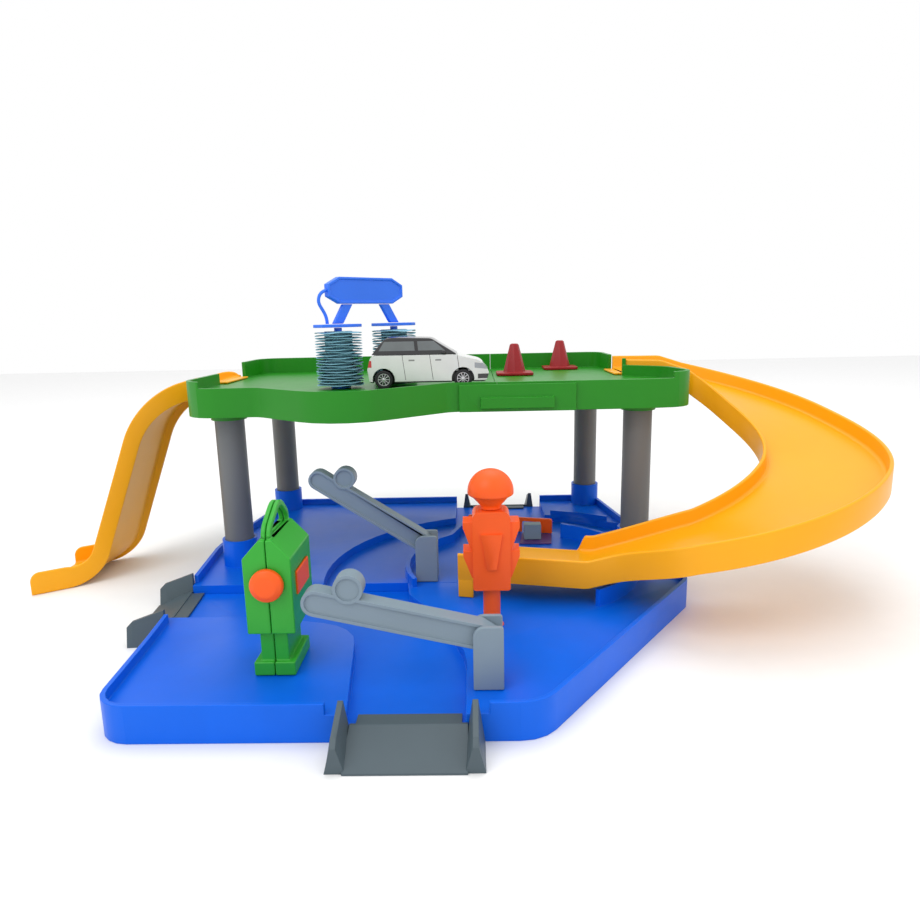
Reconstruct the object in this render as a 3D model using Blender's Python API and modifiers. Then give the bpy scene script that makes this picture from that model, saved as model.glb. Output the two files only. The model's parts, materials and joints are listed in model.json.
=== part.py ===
"""Toy garage for small cars: tray base, four pillars, upper deck, slide, spiral ramp and accessories.

Sizes are in millimetres, and MM turns them into Blender's metres. +X is to the right, +Y to the back
and +Z up. The origin is the middle of the round foot under the court, on the ground.
"""

import math

import bmesh
import bpy
from mathutils import Matrix, Vector

MM = 0.001

# Clearances
GAP = 0.3
SLIDE_GAP = 0.5
CUT_RISE = 20
BEYOND_BASE = 200
OVERLAP = 1.0

# Base tray
BASE_FRONT_Y = -191
LEFT_GAP_X = (-180, -148)
BASE_CORNERS = [
    (-147, BASE_FRONT_Y, 16),
    (46, BASE_FRONT_Y, 20),
    (147, -54, 12),
    (141, 40, 60),
    (124, 151.5, 14),
    (-151, 151.5, 16),
    (-168, 22, 50),
    (-152, -128, 60),
]
BASE_WALL = 2.4
BASE_RIM_Z = 18
PLATEAU_Z = 13
ROAD_Z = 7.5
FLOOR_THICKNESS = 3.7
SEAM_Y = -43
RIB_WIDTH = 4
FOOT_RADIUS = 12

# Roads in the tray
FRONT_ROAD = [
    (-36.5, -200, 0),
    (13, -200, 0),
    (13, -140, 40),
    (2, -100, 60),
    (-22, -62, 15),
    (-24.8, SEAM_Y + 0.1, 0),
    (-180, SEAM_Y + 0.1, 0),
    (-180, -90.5, 0),
    (-105, -90.5, 30),
    (-47, -105, 28),
]
RING_CENTRE = (47.5, -19.5)
RING_OUTER = 127.7
COURT_RADIUS = 76
RING_END_DEG = 33
COURT_LEFT_DEG = 130
COURT_RIGHT_DEG = 62
COURT_WALL = 3
COURT_WALL_LEFT_Z = 19
KERB_TOP_Z = 17
KERB_WIDTH = 2.4
KERB_SET_BACK = 0.4
KERB_SPAN_DEG = (75, 54)
COURT_WALL_SPAN_DEG = (205, -58)
FRONT_GAP = (-46.6, 23)
LEFT_GAP = (-97, -38)
BACK_GAP = (2, 76)
EXIT_DEPTH = 12

# Pillars, their sockets and collars
PILLARS = {
    "front_left": (-143.7, 0),
    "front_right": (128.4, 10.9),
    "back_left": (-146.4, 138.9),
    "back_right": (114.8, 143.1),
}
PILLAR_RADIUS = 9.5
SOCKET_WALL = 1.7
SOCKET_TOP_Z = 31
SOCKET_FLOOR = 1.2
COLLAR_BOTTOM_Z = 113

# Upper deck
DECK_CORNERS = [
    (-169, -24, 32),
    (-118, -20, 12),
    (-60, -67, 40),
    (4, -13.5, 14),
    (126, -13.5, 20),
    (163, -8, 18),
    (155, 38, 20),
    (130, 58, 0),
    (130, 160, 14),
    (-168, 160, 16),
]
DECK_WALL = 2.6
DECK_SKIRT_Z = 116.5
DECK_FLOOR_Z = 131.3
DECK_FLOOR_THICKNESS = 2.4
DECK_BACK_TOP_Z = 144
DECK_LOBE_TOP_Z = 139.3
DECK_FRONT_TOP_Z = 135.2
DECK_LOBE_Y = 58
DECK_FRONT_X = (-155, 146)
DECK_FRONT_Y = 4
DECK_SEAM_X = 33.5
DECK_RIGHT_X = 130
SLIDE_OPENING_Y = (50, 108)
RAMP_OPENING_Y = (60, 112)
PANEL_X = (9.2, 83.5)
PANEL_THICKNESS = 2
PANEL_TOP_Z = 134
LEDGE_X = (23, 69.5)
LEDGE_Z = (118.7, 125.9)
LEDGE_DEPTH = 3

# Slide
SLIDE_START = (-168.9, 50.5)
SLIDE_DIRECTION = (-0.8228, -0.5683)
SLIDE_WIDTH_Y = 55.5
SLIDE_PATH = [(0, 126.2, 0), (48.4, 114.6, 54), (90.3, 0.3, 44), (132, 0.3, 0)]
SLIDE_WALL_HEIGHT = 15
SLIDE_STEEP_DIP = 4.2
SLIDE_NOSE = 5
SLIDE_MOUTH = (14, 6)
SLIDE_NOSE_STEPS = (1, 0.6, 0.25, 0.08)
SLIDE_MOUTH_STEPS = (0.08, 0.25, 0.5, 1)
SLIDE_FLOOR_TOP = 7.2
SLIDE_FLOOR_END = 3.2
CHANNEL_WALL = 2.4
CHANNEL_FLOOR = 2.0
TONGUE_LENGTH = 7
TONGUE_THICKNESS = 1.4

# Spiral ramp
SPIRAL_CENTRE_X = 160
SPIRAL_START_Y = 85.55
SPIRAL_RADIUS = 75.7
SPIRAL_HEADING_DEG = -13
SPIRAL_WIDTH = 49.5
SPIRAL_WALL_HEIGHT = 16.3
SPIRAL_FLOOR_DROP = 10
SPIRAL_END_X = 13
SPIRAL_LEVEL_START = 30
SPIRAL_LEVEL_END = 75
SPIRAL_END_BOTTOM_Z = 23.7
SPIRAL_ARC_STEPS = 18
SPIRAL_STRAIGHT_STEPS = 4
SPIRAL_OPEN_LENGTH = 66
SPIRAL_FOOT_LENGTH = 9
SPIRAL_OUTER_FLARE = (4, 12.5)
SPIRAL_INNER_FLARE = (13, 4)
FLARE_START_END = 0.05
OUTER_FLARE_LATE = (0.33, 0.64)
INNER_FLARE_EARLY = (0.18, 0.68)
FLARE_FADE = (1.0, 1.2)

# Drive-on ramps
FRONT_EXIT_X = -11.2
LEFT_EXIT_Y = -67.4
EXIT_WIDTH = 50
EXIT_WALL_FOOT = 7.2
EXIT_WALL_TOP = 2.4
EXIT_REACH = 22
EXIT_TONGUE = 7.4
EXIT_TONGUE_WIDTH = 45
EXIT_WALL_LOW = 11
EXIT_WALL_HIGH = 20

# Barrier gates
GATE_POST_WIDTH = 13.6
GATE_POST_DEPTH = 15
GATE_POST_HEIGHT = 29.8
GATE_CHEEK = 2.4
GATE_PIVOT_DROP = 7
GATE_PIVOT_INSET = 6.4
GATE_PIN_RADIUS = 2
GATE_PIN_SEAT = 1.4
GATE_NOTCH_RISE = 1
ARM_LENGTH = 84.7
ARM_HALF_HEIGHT = 6
ARM_TAIL = 4
ARM_RECESS = 1
ARM_TIP_RADIUS = 5.8
ARM_RIM = 1.6
DISC_ALONG = 65.5
DISC_ABOVE = 9.5
DISC_RADIUS = 6.8
BACK_GATE_DEG = 194.35
BACK_GATE_INSET = 13.861
FRONT_GATE_XY = (23.1, -173)
GATE_REST_DEG = {"front": 13, "back": 33}

# Traffic light
SIGNAL_XY = (26.4, -104.5)
SIGNAL_POST_RADIUS = 4.6
SIGNAL_BODY = (19.6, 15, 42.6)
SIGNAL_BODY_Z = 35.2
SIGNAL_HOOD = 4.9
SIGNAL_HOOD_HEIGHT = 15.4
SIGNAL_HOODS_Z = (41.8, 56.6)
SIGNAL_CAP_RADIUS = 12
SIGNAL_CAP_HEIGHT = 21
SIGNAL_CAP_BROW = 9
SIGNAL_NECK_RADIUS = 5.3

# Fuel pump
PUMP_X = -76.4
PUMP_FRONT_Y = -159
PUMP_DEPTH = 37
PUMP_WIDTH = 22.2
PUMP_FOOT = (19.4, 29, 6.8)
PUMP_NECK = (13, 24)
PUMP_BODY_Z = (34.6, 70.8)
PUMP_RIDGE_Z = 79.6
PUMP_SHELL = 2
PUMP_HANDLE_Y = (-156, -125)
PUMP_HANDLE_THICKNESS = 3
PUMP_HANDLE_WIDTH = 4.6
PUMP_HANDLE_TOP_Z = 93
KNOB_RADIUS = 7.7
KNOB_THICKNESS = 4.6
KNOB_Z = 59
KNOB_STEM_RADIUS = 2.2
SCREEN_SIZE = (22, 11)
SCREEN_THICKNESS = 1.2

# Car wash
BRUSHES = {"left": (-69.3, 6), "right": (-36.4, 39)}
BRUSH_RADIUS = 15.6
BRUSH_CORE = 9.5
BRUSH_HEIGHT = 35.5
BRUSH_DISCS = 20
BRUSH_STEPS = 16
SPINDLE_RADIUS = 2.6
WASH_PLATE_Z = 171
WASH_PLATE = (31, 15, 2)
SIGN_HALF_LENGTH = 30.5
SIGN_Z = (186, 203)
SIGN_CHAMFER = (9, 4.6)
SIGN_THICKNESS = 5
SIGN_RIM = 1.6
LEG_WIDTH = 7.5
LEG_THICKNESS = 3
LEG_SPREAD = 8
HOSE_RADIUS = 1.1

# Court pieces
ARCH_ENDS = ((12.5, 68.5), (76, 52.5))
ARCH_TOP_Z = 24.5
ARCH_THICKNESS = 3
WINDOW_SPAN = (42.5, 57)
WINDOW_TOP_Z = 21.8
PAD_CORNERS = [(50, 28.5, 1), (73, 27.5, 1), (75.5, 49.5, 1), (54, 54.8, 1)]
PAD_THICKNESS = 0.8
BLOCK_SIZE = (12.4, 8, 11.4)
BLOCK_XY = (60.2, 39.4)

# Cones
CONES = {"near": (50.5, 88), "far": (91.5, 138)}
CONE_PLATE = 28
CONE_PLATE_THICKNESS = 2
CONE_PLATE_ROUND = 4
CONE_FOOT_RADIUS = 9
CONE_TOP_RADIUS = 3.6
CONE_HEIGHT = 23.5
CONE_SIDES = 8

# Car
CAR_REAR_X = -49.4
CAR_LENGTH = 78.4
CAR_WIDTH = 31.5
CAR_SIDE_Y = -10.2
CAR_SILL = 3.9
CAR_BELT = 22
CAR_ROOF = 33.2
CAR_WHEEL_RADIUS = 5.9
CAR_WHEEL_WIDTH = 5.4
CAR_WHEEL_ARCH = 7.3
CAR_AXLE_RADIUS = 1
CAR_AXLES_X = {"rear": 10.6, "front": 61.4}
CAR_SHELL = 2

COLOURS = {
    "blue": ((0.012, 0.11, 0.62), 0.4),
    "green": ((0.03, 0.36, 0.02), 0.4),
    "yellow": ((1.0, 0.42, 0.01), 0.38),
    "orange": ((1.0, 0.11, 0.01), 0.4),
    "pillar_grey": ((0.2, 0.19, 0.18), 0.45),
    "gate_grey": ((0.32, 0.35, 0.38), 0.45),
    "dark_grey": ((0.08, 0.1, 0.11), 0.5),
    "brush_blue": ((0.3, 0.55, 0.62), 0.6),
    "wash_blue": ((0.06, 0.25, 0.95), 0.4),
    "cone_red": ((0.5, 0.02, 0.05), 0.45),
    "purple": ((0.12, 0.05, 0.25), 0.5),
    "white": ((0.75, 0.77, 0.75), 0.25),
    "black": ((0.01, 0.01, 0.012), 0.2),
    "metal": ((0.6, 0.6, 0.6), 0.3),
}


def clear_scene():
    """Removes whatever the scene holds and makes the two collections."""
    for obj in list(bpy.data.objects):
        bpy.data.objects.remove(obj)
    for name in ("toy_garage", "cutters"):
        collection = bpy.data.collections.new(name)
        bpy.context.scene.collection.children.link(collection)
    bpy.data.collections["cutters"].hide_render = True


def material(name):
    """The plain material of one plastic colour, made once."""
    found = bpy.data.materials.get(name)
    if found:
        return found
    made = bpy.data.materials.new(name)
    made.use_nodes = True
    colour, roughness = COLOURS[name]
    shader = made.node_tree.nodes["Principled BSDF"]
    shader.inputs["Base Color"].default_value = (*colour, 1)
    shader.inputs["Roughness"].default_value = roughness
    shader.inputs["Metallic"].default_value = 1.0 if name == "metal" else 0.0
    made.diffuse_color = (*colour, 1)
    return made


def add_object(name, mesh, colour=None):
    """Links a mesh as a part of the garage, or as a helper when it has no colour."""
    obj = bpy.data.objects.new(name, mesh)
    if colour:
        mesh.materials.clear()
        mesh.materials.append(material(colour))
        bpy.data.collections["toy_garage"].objects.link(obj)
    else:
        obj.hide_render = True
        obj.display_type = "WIRE"
        bpy.data.collections["cutters"].objects.link(obj)
    return obj


def shade(mesh, angle=35):
    """Smooth faces with edges kept sharp above an angle."""
    mesh.shade_smooth()
    mesh.set_sharp_from_angle(angle=math.radians(angle))


def combine(targets, tool, operation):
    """Adds one Boolean of a helper to each target."""
    for target in targets:
        modifier = target.modifiers.new(tool.name, "BOOLEAN")
        modifier.object = tool
        modifier.operation = operation
        modifier.solver = "EXACT"


def cut(targets, tool):
    combine(targets, tool, "DIFFERENCE")


def join(targets, tool):
    combine(targets, tool, "UNION")


def keep_common(targets, tool):
    combine(targets, tool, "INTERSECT")


def rounded(corners, closed=True, step_deg=18):
    """Outline through corners (x, y, radius), each rounded by its radius."""
    points = []
    last = len(corners) - 1
    for index, (x, y, radius) in enumerate(corners):
        corner = Vector((x, y))
        if radius == 0 or (not closed and index in (0, last)):
            points.append((x, y))
            continue
        before = Vector(corners[index - 1][:2]) - corner
        after = Vector(corners[(index + 1) % len(corners)][:2]) - corner
        half = before.angle(after) / 2
        reach = min(radius / math.tan(half), 0.49 * min(before.length, after.length))
        radius = reach * math.tan(half)
        middle = (before.normalized() + after.normalized()).normalized()
        centre = corner + middle * radius / math.sin(half)
        first = corner + before.normalized() * reach - centre
        final = corner + after.normalized() * reach - centre
        start = math.atan2(first.y, first.x)
        turn = math.atan2(final.y, final.x) - start
        turn = (turn + math.pi) % (2 * math.pi) - math.pi
        steps = max(1, math.ceil(abs(math.degrees(turn)) / step_deg))
        for step in range(steps + 1):
            angle = start + turn * step / steps
            points.append((centre.x + radius * math.cos(angle), centre.y + radius * math.sin(angle)))
    return points


def arc(centre, radius, start_deg, end_deg, step_deg=9):
    """Points along an arc, both ends included."""
    steps = max(1, round(abs(end_deg - start_deg) / step_deg))
    points = []
    for step in range(steps + 1):
        angle = math.radians(start_deg + (end_deg - start_deg) * step / steps)
        points.append((centre[0] + radius * math.cos(angle), centre[1] + radius * math.sin(angle)))
    return points


def shifted(path, distance, closed):
    """The path moved sideways, to its left for a positive distance."""
    moved = []
    count = len(path)
    for index in range(count):
        normals = []
        for first, second in ((index - 1, index), (index, index + 1)):
            if not closed and (first < 0 or second >= count):
                continue
            step = Vector(path[second % count]) - Vector(path[first % count])
            if step.length > 0:
                normals.append(Vector((-step.y, step.x)).normalized())
        total = sum(normals, Vector((0, 0)))
        share = len(normals) / total.length_squared if len(normals) > 1 else 1
        point = Vector(path[index]) + total * distance * share
        moved.append((point.x, point.y))
    return moved


def inset_corners(corners, distance):
    """Corners moved inwards, with radii that keep the rim's width even."""
    moved = shifted([corner[:2] for corner in corners], distance, True)
    radii = [max(radius - distance, 0) for _, _, radius in corners]
    return [(*place, radius) for place, radius in zip(moved, radii)]


def ribbon(path, width):
    """Outline of a strip of one width that follows an open path."""
    return shifted(path, -width / 2, False) + shifted(path, width / 2, False)[::-1]


def prism_mesh(name, outline, low, high):
    """Mesh of a flat outline stood up from low to high, made from a filled 2D curve."""
    curve = bpy.data.curves.new(name, "CURVE")
    curve.dimensions = "2D"
    curve.fill_mode = "BOTH"
    curve.extrude = (high - low) / 2 * MM
    spline = curve.splines.new("POLY")
    spline.points.add(len(outline) - 1)
    for point, (x, y) in zip(spline.points, outline):
        point.co = (x * MM, y * MM, 0, 1)
    spline.use_cyclic_u = True
    holder = bpy.data.objects.new(name, curve)
    bpy.context.scene.collection.objects.link(holder)
    graph = bpy.context.evaluated_depsgraph_get()
    mesh = bpy.data.meshes.new_from_object(holder.evaluated_get(graph))
    bpy.data.objects.remove(holder)
    bpy.data.curves.remove(curve)
    mesh.name = name
    shape = bmesh.new()
    shape.from_mesh(mesh)
    bmesh.ops.remove_doubles(shape, verts=shape.verts, dist=1e-6)
    bmesh.ops.translate(shape, verts=shape.verts, vec=(0, 0, (high + low) / 2 * MM))
    bmesh.ops.recalc_face_normals(shape, faces=shape.faces)
    shape.to_mesh(mesh)
    shape.free()
    shade(mesh)
    return mesh


def prism(name, outline, low, high, colour=None):
    """A flat outline in X and Y, from one height to another."""
    return add_object(name, prism_mesh(name, outline, low, high), colour)


def upright(name, outline, front, back, colour=None):
    """A flat outline in X and Z, from one depth in Y to another."""
    mesh = prism_mesh(name, outline, -back, -front)
    mesh.transform(Matrix.Rotation(math.pi / 2, 4, "X"))
    return add_object(name, mesh, colour)


def sideways(name, outline, left, right, colour=None):
    """A flat outline in Y and Z, from one place in X to another."""
    mesh = prism_mesh(name, outline, left, right)
    mesh.transform(Matrix(((0, 0, 1, 0), (1, 0, 0, 0), (0, 1, 0, 0), (0, 0, 0, 1))))
    return add_object(name, mesh, colour)


def box(name, x_span, y_span, z_span, colour=None):
    """A block between two values along each axis."""
    shape = bmesh.new()
    bmesh.ops.create_cube(shape, size=1)
    spans = (x_span, y_span, z_span)
    size = [(high - low) * MM for low, high in spans]
    middle = [(high + low) / 2 * MM for low, high in spans]
    bmesh.ops.scale(shape, verts=shape.verts, vec=size)
    bmesh.ops.translate(shape, verts=shape.verts, vec=middle)
    mesh = bpy.data.meshes.new(name)
    shape.to_mesh(mesh)
    shape.free()
    return add_object(name, mesh, colour)


def turned(name, profile, centre=(0, 0), colour=None, steps=24, closed=False):
    """A profile of (radius, height) turned round a vertical axis; it runs down its outer side."""
    shape = bmesh.new()
    points = [shape.verts.new((radius * MM, 0, height * MM)) for radius, height in profile]
    for first, second in zip(points, points[1:] + points[:1] if closed else points[1:]):
        shape.edges.new((first, second))
    mesh = bpy.data.meshes.new(name)
    shape.to_mesh(mesh)
    shape.free()
    obj = add_object(name, mesh, colour)
    obj.location = (centre[0] * MM, centre[1] * MM, 0)
    screw = obj.modifiers.new("turn", "SCREW")
    screw.steps = steps
    screw.render_steps = steps
    screw.use_merge_vertices = True
    screw.merge_threshold = 1e-6
    screw.use_smooth_shade = True
    return obj


def rod(name, radius, start, length, axis, colour=None, steps=20):
    """A plain cylinder from a start point along +X, +Y or +Z."""
    shape = bmesh.new()
    bmesh.ops.create_cone(
        shape,
        cap_ends=True,
        segments=steps,
        radius1=radius * MM,
        radius2=radius * MM,
        depth=length * MM,
    )
    bmesh.ops.translate(shape, verts=shape.verts, vec=(0, 0, length / 2 * MM))
    turn = {
        "X": Matrix.Rotation(math.pi / 2, 4, "Y"),
        "Y": Matrix.Rotation(-math.pi / 2, 4, "X"),
        "Z": Matrix.Identity(4),
    }[axis]
    mesh = bpy.data.meshes.new(name)
    shape.to_mesh(mesh)
    shape.free()
    mesh.transform(Matrix.Translation(Vector(start) * MM) @ turn)
    shade(mesh)
    return add_object(name, mesh, colour)


def loft(name, sections, colour=None):
    """A closed skin over sections that each list the same number of points."""
    shape = bmesh.new()
    rings = [[shape.verts.new(Vector(point) * MM) for point in section] for section in sections]
    count = len(rings[0])
    for ring, following in zip(rings, rings[1:]):
        for index in range(count):
            after = (index + 1) % count
            shape.faces.new((ring[index], ring[after], following[after], following[index]))
    shape.faces.new(rings[0][::-1])
    shape.faces.new(rings[-1])
    bmesh.ops.recalc_face_normals(shape, faces=shape.faces)
    mesh = bpy.data.meshes.new(name)
    shape.to_mesh(mesh)
    shape.free()
    shade(mesh)
    return add_object(name, mesh, colour)


def channel_section(spot, width, rim, bottom, floor_top, floor_bottom):
    """Points of an H-shaped channel section; spot(across, height) places each of them."""
    half = width / 2
    inner = half - CHANNEL_WALL
    outline = [
        (-half, bottom),
        (-half, rim),
        (-inner, rim),
        (-inner, floor_top),
        (inner, floor_top),
        (inner, rim),
        (half, rim),
        (half, bottom),
        (inner, bottom),
        (inner, floor_bottom),
        (-inner, floor_bottom),
        (-inner, bottom),
    ]
    return [spot(across, height) for across, height in outline]


def move_origin(obj, point):
    """Puts an object's origin at a point and leaves its shape where it is."""
    offset = Vector(point) * MM
    obj.data.transform(Matrix.Translation(obj.location - offset))
    obj.location = offset


def hold(children, name, place, turn_z_deg=0):
    """Parents objects, built round zero, to an empty at a place."""
    frame = bpy.data.objects.new(name, None)
    frame.location = Vector(place) * MM
    frame.rotation_euler = (0, 0, math.radians(turn_z_deg))
    bpy.data.collections["toy_garage"].objects.link(frame)
    for child in children:
        child.parent = frame
    return frame


def court_outline():
    """The court's edge: a circle with a straight back edge behind the arch."""
    (left_x, left_y), (right_x, right_y) = ARCH_ENDS
    right = arc(RING_CENTRE, COURT_RADIUS, -70, COURT_RIGHT_DEG)
    left = arc(RING_CENTRE, COURT_RADIUS, COURT_LEFT_DEG, 290)
    edge = ARCH_THICKNESS + COURT_WALL / 2
    back = [(right_x + edge, right_y + edge), (left_x - edge, left_y + edge)]
    return right + back + left[:-1]


def ring_road_outline():
    """The ring road's sector, with the lane that leaves it through the back wall."""
    left_x, right_x = BACK_GAP
    right_deg = math.degrees(math.acos((right_x - RING_CENTRE[0]) / RING_OUTER))
    left_deg = math.degrees(math.acos((left_x - RING_CENTRE[0]) / RING_OUTER))
    before = arc(RING_CENTRE, RING_OUTER, RING_END_DEG, right_deg, 6)
    after = arc(RING_CENTRE, RING_OUTER, left_deg, 192, 6)
    return [RING_CENTRE] + before + [(right_x, 170), (left_x, 170)] + after


def make_base():
    """Both halves of the tray, cut from one outline by the same helpers."""
    outline = rounded(BASE_CORNERS)
    halves = [
        prism("base_front", outline, 0, BASE_RIM_Z, "blue"),
        prism("base_back", outline, 0, BASE_RIM_Z, "blue"),
    ]
    inside = shifted(outline, BASE_WALL, True)
    above = BASE_RIM_Z + CUT_RISE
    cut(halves, prism("plateau_space", inside, PLATEAU_Z, above))
    cut(halves, prism("underside_space", inside, -1, ROAD_Z - FLOOR_THICKNESS))
    cut(halves, prism("front_road", rounded(FRONT_ROAD), ROAD_Z, above))
    ring = prism("ring_road", ring_road_outline(), ROAD_Z, above)
    cut([ring], prism("court_block", court_outline(), ROAD_Z - 1, above + 1))
    bounds = prism("ring_bounds", inside, ROAD_Z - 1, above + 1)
    join([bounds], box("back_way", BACK_GAP, (RING_CENTRE[1], BEYOND_BASE), (ROAD_Z - 2, above + 2)))
    keep_common([ring], bounds)
    front_edge = box("ring_front_edge", (-BEYOND_BASE, 60), (-BEYOND_BASE, SEAM_Y - 0.1), (0, above + 1))
    cut([ring], front_edge)
    cut(halves, ring)
    front_span = (-BEYOND_BASE, BASE_FRONT_Y + EXIT_DEPTH)
    cut(halves, box("front_gap", FRONT_GAP, front_span, (PLATEAU_Z, above)))
    cut(halves, box("left_gap", LEFT_GAP_X, LEFT_GAP, (PLATEAU_Z, above)))

    court_middle = COURT_RADIUS - COURT_WALL / 2 - KERB_SET_BACK
    left_path = arc(RING_CENTRE, court_middle, COURT_WALL_SPAN_DEG[0], COURT_LEFT_DEG)
    left_path.append((ARCH_ENDS[0][0] - COURT_WALL, ARCH_ENDS[0][1]))
    low = PLATEAU_Z - OVERLAP
    join(halves, prism("court_wall_left", ribbon(left_path, COURT_WALL), low, COURT_WALL_LEFT_Z))
    right_path = arc(RING_CENTRE, court_middle, COURT_RIGHT_DEG, COURT_WALL_SPAN_DEG[1])
    right_top = SPIRAL_END_BOTTOM_Z - GAP
    join(halves, prism("court_wall_right", ribbon(right_path, COURT_WALL), low, right_top))
    kerb_middle = RING_OUTER + KERB_WIDTH / 2 + KERB_SET_BACK
    kerb_path = arc(RING_CENTRE, kerb_middle, *KERB_SPAN_DEG)
    join(halves, prism("ring_kerb", ribbon(kerb_path, KERB_WIDTH), low, KERB_TOP_Z))

    for place, centre in PILLARS.items():
        outer = PILLAR_RADIUS + GAP + SOCKET_WALL
        bore = PILLAR_RADIUS + GAP
        join(halves, rod(f"socket_{place}", outer, (*centre, 0), SOCKET_TOP_Z, "Z", steps=24))
        seat = PLATEAU_Z + SOCKET_FLOOR
        cut(halves, rod(f"socket_bore_{place}", bore, (*centre, seat), SOCKET_TOP_Z, "Z", steps=24))

    floor_low = ROAD_Z - OVERLAP
    rib = (SEAM_Y - RIB_WIDTH - GAP, SEAM_Y + RIB_WIDTH + GAP)
    join(halves, box("seam_rib", (-155, 140), rib, (0, floor_low)))
    join(halves, box("long_rib", (-RIB_WIDTH / 2, RIB_WIDTH / 2), (-188, 149), (0, floor_low)))
    join(halves, rod("centre_foot", FOOT_RADIUS, (0, 0, 0), floor_low, "Z", steps=24))

    far = 400
    cut(halves[:1], box("behind_seam", (-far, far), (SEAM_Y - GAP / 2, far), (-far, far)))
    cut(halves[1:], box("before_seam", (-far, far), (-far, SEAM_Y + GAP / 2), (-far, far)))


def make_pillars():
    """Four round posts between the base's sockets and the deck's collars."""
    bottom = PLATEAU_Z + SOCKET_FLOOR + GAP
    top = DECK_FLOOR_Z - DECK_FLOOR_THICKNESS - SOCKET_FLOOR - GAP
    edge = 0.8
    for place, centre in PILLARS.items():
        profile = [
            (0, top),
            (PILLAR_RADIUS - edge, top),
            (PILLAR_RADIUS, top - edge),
            (PILLAR_RADIUS, bottom + edge),
            (PILLAR_RADIUS - edge, bottom),
            (0, bottom),
        ]
        turned(f"pillar_{place}", profile, centre, "pillar_grey")


def make_deck():
    """Both halves of the upper deck and the plate on its front."""
    outline = rounded(DECK_CORNERS)
    halves = [
        prism("deck_left", outline, DECK_SKIRT_Z, DECK_BACK_TOP_Z, "green"),
        prism("deck_right", outline, DECK_SKIRT_Z, DECK_BACK_TOP_Z, "green"),
    ]
    inside = shifted(outline, DECK_WALL, True)
    above = DECK_BACK_TOP_Z + 10
    underside = DECK_FLOOR_Z - DECK_FLOOR_THICKNESS
    cut(halves, prism("deck_top_space", inside, DECK_FLOOR_Z, above))
    cut(halves, prism("deck_under_space", inside, DECK_SKIRT_Z - 1, underside))
    far = 400
    cut(halves, box("lobe_top", (-far, far), (-far, DECK_LOBE_Y), (DECK_LOBE_TOP_Z, above)))
    cut(halves, box("front_top", DECK_FRONT_X, (-far, DECK_FRONT_Y), (DECK_FRONT_TOP_Z, above)))
    slide_hole = box("slide_opening", (-far, -160), SLIDE_OPENING_Y, (DECK_FLOOR_Z, above))
    cut(halves, slide_hole)
    ramp_x = (DECK_RIGHT_X - 2 * DECK_WALL, far)
    cut(halves, box("ramp_opening", ramp_x, RAMP_OPENING_Y, (DECK_FLOOR_Z, above)))
    for place, centre in PILLARS.items():
        outer = PILLAR_RADIUS + GAP + SOCKET_WALL
        bore = PILLAR_RADIUS + GAP
        top = underside + OVERLAP
        low = COLLAR_BOTTOM_Z
        join(halves, rod(f"collar_{place}", outer, (*centre, low), top - low, "Z", steps=24))
        low = COLLAR_BOTTOM_Z - OVERLAP
        depth = underside - SOCKET_FLOOR - low
        cut(halves, rod(f"collar_bore_{place}", bore, (*centre, low), depth, "Z", steps=24))
    split = DECK_SEAM_X
    cut(halves[:1], box("right_of_seam", (split - GAP / 2, far), (-far, far), (-far, far)))
    cut(halves[1:], box("left_of_seam", (-far, split + GAP / 2), (-far, far), (-far, far)))

    back = -13.5 - GAP
    front = back - PANEL_THICKNESS
    panel = box("front_panel", PANEL_X, (front, back), (DECK_SKIRT_Z, PANEL_TOP_Z), "green")
    join([panel], box("panel_ledge", LEDGE_X, (front - LEDGE_DEPTH, front + OVERLAP), LEDGE_Z))


def make_slide():
    """The S slide: a channel whose walls stand on two parallel slanted planes."""
    path = rounded(SLIDE_PATH, closed=False, step_deg=7)
    end, foot = path[-1]
    path[-1:-1] = [(end - SLIDE_NOSE * share, foot) for share in SLIDE_NOSE_STEPS]
    first = Vector(path[0])
    lean = (Vector(path[1]) - first).normalized()
    path[1:1] = [tuple(first + lean * SLIDE_MOUTH[0] * share) for share in SLIDE_MOUTH_STEPS]
    direction = Vector(SLIDE_DIRECTION)
    start = Vector(SLIDE_START)
    blend_start = SLIDE_PATH[1][0]
    sections = []
    for index, point in enumerate(path):
        before = Vector(path[max(index - 1, 0)])
        after = Vector(path[min(index + 1, len(path) - 1)])
        along = (after - before).normalized()
        up = Vector((-along.y, along.x))
        share = min(max((point[0] - blend_start) / (end - blend_start), 0), 1)
        floor_top = SLIDE_FLOOR_TOP + (SLIDE_FLOOR_END - SLIDE_FLOOR_TOP) * share
        nose = max(1 - (end - point[0]) / SLIDE_NOSE, 0)
        mouth = max(1 - point[0] / SLIDE_MOUTH[0], 0)
        rim = SLIDE_WALL_HEIGHT - SLIDE_STEEP_DIP * abs(along.y)
        rim -= SLIDE_NOSE * (1 - math.sqrt(1 - nose * nose))
        rim -= SLIDE_MOUTH[1] * (1 - math.sqrt(1 - mouth * mouth))

        def spot(across, height):
            place = Vector(point) + up * height
            if index == 0:
                place.x = 0
            plan = start + direction * place.x
            return (plan.x, plan.y + across + SLIDE_WIDTH_Y / 2, place.y)

        sections.append(
            channel_section(spot, SLIDE_WIDTH_Y, rim, 0, floor_top, floor_top - CHANNEL_FLOOR)
        )
    slide = loft("slide", sections, "yellow")
    low = DECK_FLOOR_Z + GAP
    inner = CHANNEL_WALL + OVERLAP
    y_span = (SLIDE_START[1] + inner, SLIDE_START[1] + SLIDE_WIDTH_Y - inner)
    x_span = (SLIDE_START[0] - OVERLAP * 2, SLIDE_START[0] + TONGUE_LENGTH)
    join([slide], box("slide_tongue", x_span, y_span, (low, low + TONGUE_THICKNESS)))


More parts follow.
